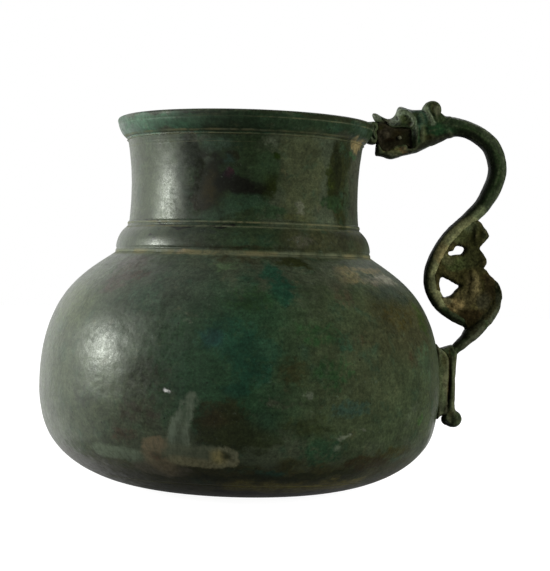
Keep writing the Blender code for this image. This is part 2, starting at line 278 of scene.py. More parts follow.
def out_of_true(co, outer):
    """Moves a turned surface a little off its circle, and presses in its lines, dents and pits."""
    radius = np.hypot(co[:, 0], co[:, 1])
    turn = np.arctan2(co[:, 0], -co[:, 1])
    z = co[:, 2]
    # an oval, a three-sided wave and broad waves, then a fuller shoulder and underside, most at the handle
    away = 0.11 * np.sin(2 * turn + 0.7) + 0.07 * np.sin(3 * turn - z / 30) + 0.14 * rough(co, 26, 2)
    away += (0.2 + 0.2 * np.sin(turn)) * fade(z, 86, 70) + (0.95 + 0.4 * np.sin(turn)) * fade(z, 30, 17)
    away *= np.clip(radius / 30, 0, 1)
    # grain, pits in patches, and wear along the lathe's lines
    fine = 0.035 * rough(co, 3.4, 3)
    pits = 0.16 * fade(rough(co, 2.3, 2), 0.5, 1.0) * fade(rough(co + 40, 21, 2), -0.15, 0.5)
    worn = 0.55 + 0.45 * fade(rough(np.stack([radius * turn, z * 0, z * 3], 1), 16, 3), -0.5, 0.4)
    cut = np.zeros(len(co))
    for height, depth, half in TURNED_LINES:
        cut += depth * worn * np.exp(-(((z - height) / half) ** 2))
    for azimuth, height, reach, depth in DENTS:
        off = (turn - math.radians(azimuth) + math.pi) % math.tau - math.pi
        cut += depth * np.exp(-((radius * off) ** 2 + (z - height) ** 2) / (reach * 0.6) ** 2)
    moved = radius + away + np.where(outer, fine - pits - cut, 0)
    scale = np.where(radius > 1, moved / np.maximum(radius, 1), 1)
    return np.stack([co[:, 0] * scale, co[:, 1] * scale, z], 1)


def lathe(name, outer, inner, on_axis=False):
    """A turned piece. outer runs down its outside, and inner back up its inside.

    A dish's outline stops at the axis at both ends. Its first run is the inside, from the middle outwards,
    and its second the outside. Its flat foot is left as dull as its inside."""
    outline = np.vstack([outer, inner])
    around = np.radians(np.arange(STEPS) * 360 / STEPS)
    r, z = outline[:, 0, None], outline[:, 1, None]
    rings = np.stack([r * np.sin(around), -r * np.cos(around), z + 0 * around], -1)
    count = len(outline)
    points = list(rings.reshape(-1, 3))
    shift = (np.arange(STEPS) + 1) % STEPS
    faces = []
    for i in range(count if not on_axis else count - 1):
        low, high = i * STEPS, ((i + 1) % count) * STEPS
        faces += [(low + j, high + j, high + k, low + k) for j, k in enumerate(shift)]
    if on_axis:
        points += [np.array([0, 0, outline[0, 1]]), np.array([0, 0, outline[-1, 1]])]
        first, last = len(points) - 2, (count - 1) * STEPS
        faces += [(first, j, k) for j, k in enumerate(shift)]
        faces += [(first + 1, last + k, last + j) for j, k in enumerate(shift)]
    points = np.array(points)
    is_first = np.arange(len(points)) < len(outer) * STEPS
    is_outer = is_first
    if on_axis:
        is_outer = ~is_first & (np.hypot(points[:, 0], points[:, 1]) > BASE_FLAT_RADIUS)
    obj = make_mesh(name, out_of_true(points, is_outer), faces)
    store(obj, "inside", 1.0 - is_outer)
    return obj


def body_shell():
    line = cut_line(belly_line(), COLLAR_FOOT_HEIGHT, BASE_SEAM_HEIGHT + SEAM_GAP)
    outer = resample(line, OUTSIDE_SPACING)
    inner = resample(inside_of(outer, WALL), INSIDE_SPACING)
    return lathe("body_surface", outer, inner)


def base_dish():
    """The dish under the seam, with the lap that reaches up inside the shell."""
    line = belly_line()
    lap_top = BASE_SEAM_HEIGHT + LAP_HEIGHT
    outer = resample(cut_line(line, BASE_SEAM_HEIGHT, 0.0), OUTSIDE_SPACING)
    raised = resample(cut_line(line, lap_top, 0.0), 1.4)
    inner = inside_of(raised, WALL + LAP_THICKNESS)
    lap = resample(cut_line(line, lap_top, BASE_SEAM_HEIGHT), 1.0)
    lap = inside_of(lap, WALL + LAP_PLAY)[::-1]
    flat = np.linspace(1.0, 0.03, 14)[:, None]
    floor = np.array([[BASE_FLAT_RADIUS, inner[0, 1]]]) * np.hstack([flat[::-1], flat * 0 + 1])
    foot = np.array([[BASE_FLAT_RADIUS, 0.0]]) * np.hstack([flat, flat * 0 + 1])
    return lathe("base_surface", np.vstack([floor, inner, lap]), np.vstack([outer, foot]), on_axis=True)


def neck_tube():
    """The waisted wall, let into the rim at its top and running down inside the collar."""
    z = np.arange(NECK_TOP, COLLAR_TOP - 1.6, -0.33)
    outer = np.stack([neck_radius(z), z], 1)
    lip = 41.3, RIM_TOP - 0.9
    inner = resample(np.vstack([[neck_radius(96) - WALL, 83], outer[::-1] - (WALL, 0), lip]), 1.0)
    outer = np.vstack([resample([lip, (43.2, RIM_TOP - 0.9), (42.9, 127.3)], 1.0), outer])
    outer = np.vstack([outer, resample([(42.2, 95.2), (42.2, 83)], 2.0)])
    return lathe("neck_surface", outer, inner)


def collar_ring():
    """The moulding that swells out between the neck and the shoulder."""
    swelling = bezier((43.3, 94.8), (1.9, -1.1), (0.1, 3.4), (46.95, 86.9))
    edge = np.vstack([[42.3, 97.2], [42.75, 96.9], [43.0, 95.6], swelling, [47.15, 86.0], [47.2, 85.2]])
    outer = soften(resample(edge, 0.22), 2)
    inner = resample([(47.0, 84.8), (42.25, 84.8), (42.25, 97.0)], 2.0)
    return lathe("collar_surface", outer, inner)


def rim_ring():
    """The flared lip: a flat top, an upright face, a hollow below it and a bead."""
    hollow = bezier((46.85, 131.6), (-0.6, -1.6), (1.0, 0.5), (44.5, 128.0))
    face = [(41.9, RIM_TOP - 0.35), (43.2, RIM_TOP), (46.3, RIM_TOP), (47.2, RIM_TOP - 0.45)]
    face += [(47.35, RIM_TOP - 1.2), (47.05, 132.4)]
    outer = soften(resample(np.vstack([face, hollow, [43.95, 127.3], [43.75, 126.6]]), 0.24), 2)
    inner = resample([(42.8, 126.5), (42.6, 127.5), (41.6, RIM_TOP - 1.6)], 1.5)
    return lathe("rim_surface", outer, inner)


# ---------------- the handle: sculpting tools


def tube_faces(rings, sides, downward=False):
    """The faces between rings of points, and a lid on each end; downward turns them all over."""
    faces = []
    for i in range(rings - 1):
        for j in range(sides):
            k = (j + 1) % sides
            a, b, c, d = i * sides + j, i * sides + k, (i + 1) * sides + k, (i + 1) * sides + j
            faces.append((a, d, c, b) if downward else (a, b, c, d))
    first, last = tuple(range(sides)), tuple(range((rings - 1) * sides, rings * sides))
    return faces + ([first, last[::-1]] if downward else [first[::-1], last])


def sweep(line, flatten=1.0, sides=24, facets=0.0):
    """A bar along x, height, radius points, rounded at its ends. flatten is its width over its depth."""
    line = resample(smooth_line(line), 0.6)
    middle, radius = line[:, :2], line[:, 2]
    along, across = directions(middle)
    angle = np.radians(np.arange(sides) * 360 / sides)
    shape = 1 + facets * np.cos(8 * angle)
    rings = []
    along_bar = [(i, 0, 1) for i in range(len(line))]
    for i, push, size in [(0, -0.75, 0.62), (0, -0.35, 0.9), *along_bar, (-1, 0.35, 0.9), (-1, 0.75, 0.62)]:
        spot = middle[i] + push * radius[i] * along[i]
        out = size * radius[i] * shape * np.cos(angle)
        side = size * radius[i] * shape * np.sin(angle) * flatten
        rings.append(np.stack([spot[0] + out * across[i, 0], side, spot[1] + out * across[i, 1]], 1))
    return np.vstack(rings), tube_faces(len(rings), sides)


def blob(centre, radii, rings=10, sides=18):
    """An ellipsoid."""
    down = np.radians(np.linspace(8, 172, rings))
    round_ = np.radians(np.arange(sides) * 360 / sides)
    out, height = np.sin(down)[:, None], np.cos(down)[:, None] + 0 * round_
    unit = np.stack([out * np.cos(round_), out * np.sin(round_), height], -1).reshape(-1, 3)
    return unit * np.array(radii) + np.array(centre), tube_faces(rings, sides, downward=True)


def slab(outline, half_width, holes=()):
    """A flat outline in the handle's plane, with holes, given a thickness."""
    curve = bpy.data.curves.new("slab", "CURVE")
    curve.dimensions, curve.fill_mode, curve.extrude = "2D", "BOTH", half_width
    for edge in (outline, *holes):
        spline = curve.splines.new("POLY")
        spline.points.add(len(edge) - 1)
        for point, (x, z) in zip(spline.points, edge):
            point.co = (x, z, 0, 1)
        spline.use_cyclic_u = True
    obj = placed("slab", curve)
    mesh = evaluated(obj)
    points = np.array([(v.co.x, -v.co.z, v.co.y) for v in mesh.vertices])
    faces = [tuple(polygon.vertices) for polygon in mesh.polygons]
    bpy.data.objects.remove(obj)
    bpy.data.curves.remove(curve)
    bpy.data.meshes.remove(mesh)
    return points, faces


def weld(name, shapes, voxel):
    """One skin over overlapping shapes, with an even fine mesh."""
    points, faces, count = [], [], 0
    for shape_points, shape_faces in shapes:
        points.append(shape_points)
        faces += [tuple(i + count for i in face) for face in shape_faces]
        count += len(shape_points)
    obj = make_mesh(name, np.vstack(points), faces)
    bpy.context.view_layer.objects.active = obj
    remesh = obj.modifiers.new("Skin", "REMESH")
    remesh.mode, remesh.voxel_size = "VOXEL", voxel * MM
    skin = evaluated(obj)
    obj.modifiers.clear()
    old, obj.data = obj.data, skin
    bpy.data.meshes.remove(old)
    skin.name = name
    skin.shade_smooth()
    return obj


def relax(obj, passes):
    set_coordinates(obj, neighbour_mean(obj, coordinates(obj), passes))


def inflated(outline, thickness, edge, holes=(), voxel=HANDLE_VOXEL):
    """A slab swelled like a cushion: its edges are rounded off within edge of the outline."""
    outline = smooth_line(outline, closed=True, per_span=3)
    holes = [smooth_line(hole, closed=True, per_span=2) for hole in holes]
    obj = weld("inflating", [slab(outline, SLAB_HALF_WIDTH, holes)], voxel)
    co = coordinates(obj)
    flat = co[:, [0, 2]]
    near = np.full(len(co), np.inf)
    for line in (outline, *holes):
        closed = np.vstack([line, line[:1]])
        near = np.minimum(near, distance_to_line(flat, closed)[0])
    share = np.clip(near / edge, 0, 1)
    round_off = np.sqrt(np.maximum(1 - (1 - share) ** 2, 0.015))
    half = thickness(flat) if callable(thickness) else thickness
    co[:, 1] *= half / SLAB_HALF_WIDTH * round_off
    shape = co, [tuple(polygon.vertices) for polygon in obj.data.polygons]
    mesh = obj.data
    bpy.data.objects.remove(obj)
    bpy.data.meshes.remove(mesh)
    return shape


def press(obj, strokes):
    """Raises or sinks both sides of a piece along strokes: a line of places, a half width, a height."""
    co, n = coordinates(obj), normals(obj)
    flat, facing = co[:, [0, 2]], fade(np.abs(n[:, 1]), 0.1, 0.55)
    lift = np.zeros(len(co))
    for line, half, height in strokes:
        line = smooth_line(line) if len(line) > 1 else np.array([line[0], line[0]], float)
        gap, where = distance_to_line(flat, line)
        taper = 1 if len(line) == 2 else np.sin(np.pi * np.clip(where, 0.04, 0.96)) ** 0.35
        lift += height * taper * np.exp(-((gap / half) ** 2))
    set_coordinates(obj, co + (lift * facing)[:, None] * n)


def roughen(obj, amounts):
    """Adds grain along the normals: size and height of the lumps, in millimetres."""
    co, n = coordinates(obj), normals(obj)
    for size, height in amounts:
        co = co + (height * rough(co, size, 2))[:, None] * n
    set_coordinates(obj, co)


# ---------------- the handle's pieces

# Bars: x, height, radius
BAR = [
    (67, 132.6, 5.1), (71, 134, 4.75), (74.8, 134.95, 3.85), (80, 134.6, 3.3), (86, 132.15, 3.3),
    (91, 127.7, 3.4), (93.3, 120.3, 3.45), (91.85, 113.4, 3.35), (88.35, 106.7, 3), (83.05, 100.9, 2.75),
    (77, 95, 2.85), (72.6, 88.3, 2.8), (69.9, 81, 2.75), (70.25, 75, 2.6), (73.5, 69.3, 2.5),
    (78.4, 65.45, 2.3), (83.2, 63.2, 2.2), (86, 61.8, 2.2),
]
STEM = [
    (91, 64.6, 1.8), (88.8, 62.2, 2.6), (86.6, 60.1, 2.85), (84.7, 58.3, 2.9), (83.25, 56.55, 2.35),
    (81.6, 54.9, 2.2), (79.8, 53.3, 1.9), (78.6, 51.6, 1.7),
]

# Outlines: x, height
SKULL = [
    (46.4, 138.6), (46.8, 139.4), (48.2, 139.15), (49.6, 138.35), (51, 137.65), (52.8, 137.35),
    (54.3, 138.1), (55.2, 139.6), (55.7, 141.3), (56.5, 141.95), (57.7, 141.8), (60, 141.05), (62, 140.9),
    (64.5, 141.1), (67, 141.2), (71.5, 140.4), (73.6, 138.95), (76, 138.5), (77.2, 131.9), (73, 130.3),
    (70, 128.75), (65, 126), (61.6, 124.8), (60.8, 127.5), (60.4, 130), (60.4, 132.4), (59.4, 133.6),
    (57, 133.9), (54.5, 133.8), (52.4, 134.3), (51, 135.2), (49.8, 135), (48.2, 135.7), (46.9, 137.1),
]
JAW = [
    (62.5, 125), (60, 124.2), (58, 123.7), (56, 122.95), (54, 122.45), (52.3, 122.65), (51, 123.2),
    (49.3, 123.45), (47.95, 123.7), (47.9, 126), (48.1, 128.3), (49.4, 128.6), (50.4, 126.5), (51.5, 125.7),
    (53, 126.4), (54.6, 127.7), (57, 128.3), (59.2, 128.2), (61, 127.3), (63.5, 128.2), (64.5, 126.3),
]

# Tool marks: a line of places, its half width, and how far it stands up
HEAD_STROKES = [
    ([(55.5, 139.4), (57.3, 140.2), (59.3, 139.5), (61, 138), (61.9, 136), (61.3, 134.5)], 0.5, 0.75),
    ([(57.6, 137.6), (59.3, 136.8)], 1.35, -0.75), ([(58.3, 137.2)], 0.6, 0.6),
    ([(60.4, 135.5)], 0.6, -0.35), ([(62.3, 139.6), (62.9, 137.5), (62.9, 135.4)], 0.5, -0.2),
    ([(64.4, 140), (64.8, 137.5), (64.6, 135)], 0.8, 0.2),
    ([(49.9, 137.6), (51.3, 136), (52.8, 134.5)], 0.42, -0.8),
    ([(52.9, 136.7), (54.6, 135.8), (56, 136.2)], 0.5, 0.45),
    ([(55, 138.7), (55.6, 136.8), (55.2, 135)], 0.4, -0.35),
    ([(51.2, 135), (54, 134.55), (57.4, 134.6), (60.4, 134.2)], 0.42, 0.6),
    ([(61.7, 133.7), (61.9, 131), (61.7, 128.4)], 0.5, -0.35),
    ([(62.9, 134.3), (63.1, 131.2), (62.7, 128.4)], 0.4, 0.35),
    ([(64.2, 134.6), (65.1, 132), (64.7, 128.8)], 0.6, 0.4), ([(66.4, 134.4), (66.9, 131.8)], 0.6, -0.15),
    ([(67.5, 130.2)], 0.8, -0.5), ([(66.1, 141), (67.5, 138.6), (68.6, 136)], 0.5, 0.6),
    ([(64.9, 139.6), (65.9, 137.2), (66.9, 135.2)], 0.5, -0.2), ([(70.8, 138.4), (71.6, 136.4)], 0.6, -0.3),
    ([(51.6, 124.5), (54.5, 125), (57.2, 124.9)], 0.5, 0.4), ([(60.3, 127.2)], 0.6, -0.9),
    ([(58.2, 126.4)], 0.9, 0.4),
]
EAR_STROKES = [
    ([(68.4, 141.2)], 0.6, -0.25),
    ([(66.4, 139.4), (66, 141.6), (67.5, 143.5), (69.8, 143.5), (71.1, 141.8)], 0.5, 0.35),
    ([(69.3, 142), (69.3, 140), (69.8, 137.8)], 0.4, 0.2),
]
LUG_STROKES = [
    ([(46.4, 134.8), (44.9, 132.2), (46.4, 129.2)], 0.45, 0.55),
    ([(48, 134), (46.9, 131.9), (47.9, 129.9)], 0.42, 0.55),
    ([(47.2, 134.4), (45.95, 132), (47.2, 129.6)], 0.33, -0.5), ([(48.7, 133), (48.2, 131.2)], 0.4, -0.6),
]


def width_by(axis, at, half):
    """Half a piece's width by where along the handle's x (axis 0) or height (axis 1) it is."""
    return lambda flat: np.interp(flat[:, axis], at, half)


# Narrow at the snout, broad at brow and cheeks, then as wide as the bar
HEAD_WIDTH = width_by(0, [46.5, 49, 53, 57, 61, 66, 71, 77], [1.7, 2.6, 3.5, 4.6, 4.9, 5, 4.6, 3.8])
JAW_WIDTH = width_by(0, [48, 52, 58, 64], [3.3, 3.8, 3.9, 4.3])
# As narrow at its top as the casting that the strap meets there
STRAP_WIDTH = width_by(1, [47, 55], [3.4, 2])


def handle_casting():
    """The beast's head, with an ear, cheek, knob and tooth on each side, the bar and the stem."""
    shapes = [
        sweep(BAR, facets=0.025),
        sweep(STEM, flatten=1.35),
        inflated(SKULL, HEAD_WIDTH, 3.4),
        inflated(JAW, JAW_WIDTH, 1.8),
    ]
    for side in (-1, 1):
        shapes.append(blob((68.3, side * 3.0, 140.9), (3.55, 1.8, 3.35)))
        shapes.append(blob((66.0, side * 2.6, 132.4), (4.6, 2.4, 4.6)))
        shapes.append(blob((56.5, side * 3.1, 130.3), (1.0, 0.6, 0.95)))
        shapes.append(blob((52.3, side * 2.3, 133.2), (0.6, 0.6, 1.3)))
    obj = weld("handle_cast", shapes, HANDLE_VOXEL)
    relax(obj, 3)
    press(obj, HEAD_STROKES + EAR_STROKES)
    relax(obj, 1)
    roughen(obj, [(6.0, 0.14), (1.6, 0.05)])
    store_relief(obj)
    return obj


SCROLL_EDGE = [
    (84, 101.8), (86.9, 100.3), (88.2, 99), (89.8, 97.3), (90.8, 95.4), (90.5, 94.2), (89.7, 92.9),
    (88.3, 91.4), (87.7, 90.3), (88.6, 88.8), (89.8, 87), (90.3, 85.6), (89.9, 84.2), (89.2, 82.9),
    (90.4, 81.4), (92, 80.1), (94.1, 78), (95.7, 75.5), (96.3, 72.8), (96, 70.2), (94.9, 67.3),
    (92.9, 64.2), (90.6, 61.6), (88.1, 59.2), (86, 57.8), (84, 57.6), (83, 59.6), (81.6, 62.8), (78, 65.2),
    (74.2, 68.8), (70.6, 74.6), (70.2, 81.6), (73, 88.4), (77.4, 95.2), (81, 99.4),
]
HOLE_UPPER = [
    (75.7, 88), (76.1, 88.9), (77.7, 89.3), (78.2, 90.6), (78.9, 91.3), (80.3, 91), (81.7, 90.2),
    (81.2, 88.8), (80.4, 87.9), (78.3, 87.8), (76.8, 87.4),
]
HOLE_LOWER = [
    (73.4, 79), (74.1, 79.35), (76, 78.5), (78, 77.3), (79.3, 76.6), (80.3, 76.4), (79.4, 75.6),
    (78.6, 74.6), (77.6, 73.2), (76.6, 72.4), (75, 72.2), (73.8, 73), (73.1, 75), (72.9, 77),
]
TAIL_ROLL = [
    (88.8, 82.4, 0.8), (91, 79.8, 1.3), (93.2, 76.8, 1.8), (94.1, 73, 2.1), (93.4, 69.2, 2.3),
    (91.4, 65.6, 2.5), (89.2, 62.8, 2.4), (87.2, 60.6, 1.6),
]
LEAF_RIBS = [
    [(86, 98, 1.6), (85.6, 94.8, 1.7), (85.8, 92, 1.3)],
    [(84.6, 82, 1.6), (85.6, 79, 2), (85.4, 75.6, 2.2), (84.4, 73, 1.7)],
    [(84.8, 92.8, 1.4), (87.2, 93.8, 1.3), (88.8, 94.6, 1)],
    [(85, 86.6, 1.4), (87, 86.2, 1.3), (88.4, 85.9, 1)],
    [(74.6, 83.8, 1.2), (78.8, 84.2, 1.5), (83.6, 84.4, 1.5)],
    [(76.2, 71.2, 1.2), (79.2, 69, 1.8), (82.6, 68, 2), (86.4, 68.6, 1.8)],
    [(89.4, 79, 1.3), (89.8, 75.6, 1.5), (88.8, 71.4, 1.6)],
    [(79.4, 93.4, 1.1), (82, 95.6, 1.3), (85, 98, 1.3)],
]


def leaf_scroll():
    leaf = inflated(SCROLL_EDGE, 2.2, 1.5, (HOLE_UPPER, HOLE_LOWER), voxel=0.25)
    shapes = [leaf, sweep(TAIL_ROLL, flatten=1.1)]
    for rib in LEAF_RIBS:
        for side in (-1, 1):
            points, faces = sweep(rib)
            shapes.append((points + (0, side * 0.95, 0), faces))
    obj = weld("leaf_openwork", shapes, LEAF_VOXEL)
    relax(obj, 5)
    roughen(obj, [(4.5, 0.35), (2.0, 0.16), (0.8, 0.04)])
    store_relief(obj, passes=30, full=0.4)
    return obj


STRAP = [
    (75.1, 53.7), (76.9, 54.3), (78.4, 54.5), (80, 52.8), (80.25, 50.4), (80, 47.5), (79.75, 42),
    (79.8, 35), (79.95, 31), (80.6, 29), (78.6, 25.2), (75.9, 26), (75.6, 28.2), (76.2, 31.5), (76.6, 34.6),
    (77.1, 38.4), (77.2, 42), (76.8, 46.6), (75.9, 50.2), (73.9, 52.2), (73.4, 53.1),
]
PAD = [
    (71.8, 53), (73.6, 53.1), (75.6, 52), (77.1, 50), (77.4, 47), (77.5, 43.6), (77.5, 39.6), (77.3, 36.4),
    (77.3, 34), (77.3, 31), (76.8, 28.9), (74.6, 28.3), (72.6, 28.6),
]
LUG = [
    (44.2, 135.4), (46, 136.2), (47.6, 136.2), (48.9, 135.2), (49.1, 132.4), (48.9, 129.8), (48.1, 127.9),
    (45.6, 127.8), (44.2, 129.2),
]
FILL = [
    (47.8, 134.9), (48.6, 135.8), (50.2, 136.1), (52, 135.4), (54, 134.4), (57, 134.2), (62.2, 133.9),
    (63.2, 130), (62.8, 127), (58, 126.4), (54.5, 125.4), (52.5, 124.7), (50.5, 124.7), (49, 126.2),
    (47.9, 129), (47.6, 132),
]


def foot_strap():
    shapes = [
        inflated(STRAP, STRAP_WIDTH, 1.1),
        blob((79.25, 0, 27.1), (3.3, 3.3, 3.2)),
        blob((77.2, 0, 26.9), (2.35, 2.7, 2.3)),
    ]
    obj = weld("foot_strap_cast", shapes, HANDLE_VOXEL)
    relax(obj, 2)
    press(obj, [([(78.2, 50.0), (78.3, 40.0), (78.0, 31.0)], 0.45, 0.3), ([(78.6, 27.6)], 1.2, -0.25)])
    roughen(obj, [(3.0, 0.16), (1.0, 0.06)])
    store_relief(obj)
    return obj


def solder_piece(name, outline, half_width, edge, lumps, extra=()):
    obj = weld(name, [inflated(outline, half_width, edge), *extra], HANDLE_VOXEL)
    roughen(obj, lumps)
    relax(obj, 1)
    store_relief(obj)
    return obj


# ---------------- stains, with some painted shade and light

NOISE_SEED = 2


def warp(co, strong=2.0, weak=0.8):
    """Pushes places about by noise, which makes the stains laid there ragged.

    Without a seed, noise_vector starts from the clock."""
    noise.seed_set(NOISE_SEED)
    large = np.array([noise.noise_vector(Vector(p)) for p in co / 8.0])
    small = np.array([noise.noise_vector(Vector(p)) for p in co / 2.4])
    return strong * large + weak * small


def stain(obj, name, spots, places, wrap=None):
    """Lays soft spots of colour over a piece, later ones on top.

    A spot is a place, or a list of places for a line, a reach each way, a colour in thousandths and a
    strength. The layer's alpha is how much patina it hides."""
    colour, cover = np.zeros((len(places), 3)), np.zeros(len(places))
    for *place, reach_u, reach_v, red, green, blue, strength in spots:
        rgb = red / 1000, green / 1000, blue / 1000
        if isinstance(place[0], list):
            reach = reach_u, reach_v
            away = distance_to_line(places / reach, smooth_line(place[0]) / reach)[0]
        else:
            off = places[:, 0] - place[0]
            if wrap:
                off = (off + wrap / 2) % wrap - wrap / 2
            away = np.hypot(off / reach_u, (places[:, 1] - place[1]) / reach_v)
        inside = strength * fade(1.6 - away, 0, 1.1)
        left = cover * (1 - inside)
        total = np.maximum(left + inside, 1e-6)
        colour = (colour * left[:, None] + np.array(rgb) * inside[:, None]) / total[:, None]
        cover = left + inside
    store(obj, name, np.hstack([colour, cover[:, None]]))


# Colours of the patina: linear red, green and blue, in thousandths
TEAL = (12, 45, 24)
BLUE_TEAL = (11, 38, 30)
GREEN = (18, 45, 15)
OLIVE = (32, 38, 10)
BLACK = (2.5, 3, 2)
DARK = (9, 11, 3.5)
BROWN = (34, 25, 8)
PALE = (100, 115, 75)
TAN = (130, 110, 45)
CHIP = (800, 800, 760)

# All spots are given one by one: azimuth, height, reach each way, colour, strength.
# The tempers of the patina that the stains lie on
VESSEL_GROUNDS = [
    # belly
    (-85, 45, 55, 60, 48, 62, 34, 1), (-60, 66, 12, 7, 62, 82, 34, 0.8), (-24, 68, 22, 16, 36, 50, 30, 0.9),
    (-20, 72, 10, 9, 33, 44, 28, 0.7), (2, 50, 22, 22, 17, 45, 20, 0.95),
    (40, 48, 26, 30, 34, 47, 21, 0.95), (36, 46, 14, 12, 35, 42, 19, 0.6),
    (58, 62, 18, 11, 35, 35, 15, 0.85), (75, 35, 14, 20, 36, 48, 20, 0.7), (0, 9, 95, 7, 30, 30, 10, 0.9),
    (160, 50, 50, 40, 34, 50, 18, 1),
    # collar and neck
    (-70, 92, 50, 5, 39, 51, 30, 0.9), (-18, 91, 14, 5, 26, 34, 20, 0.9), (4, 91, 16, 5, 20, 34, 14, 0.9),
    (32, 91, 14, 5, 30, 33, 14, 0.9), (58, 91, 16, 5, 33, 36, 17, 0.9), (-70, 112, 42, 18, 38, 50, 25, 1),
    (-27, 112, 6.5, 16, 9, 14, 6, 0.95), (-6, 113, 20, 18, 15, 26, 10, 0.95),
    (29, 112, 12, 16, 40, 47, 22, 0.9), (55, 112, 9, 16, 16, 19, 6, 0.9), (74, 112, 9, 16, 34, 37, 21, 0.9),
    (180, 112, 80, 20, 29, 40, 15, 0.9),
    # rim
    (-66, 131, 48, 3, 40, 102, 58, 0.9), (34, 131, 58, 3, 15, 29, 13, 0.9),
    (180, 131.5, 90, 3, 24, 47, 20, 0.9),
]

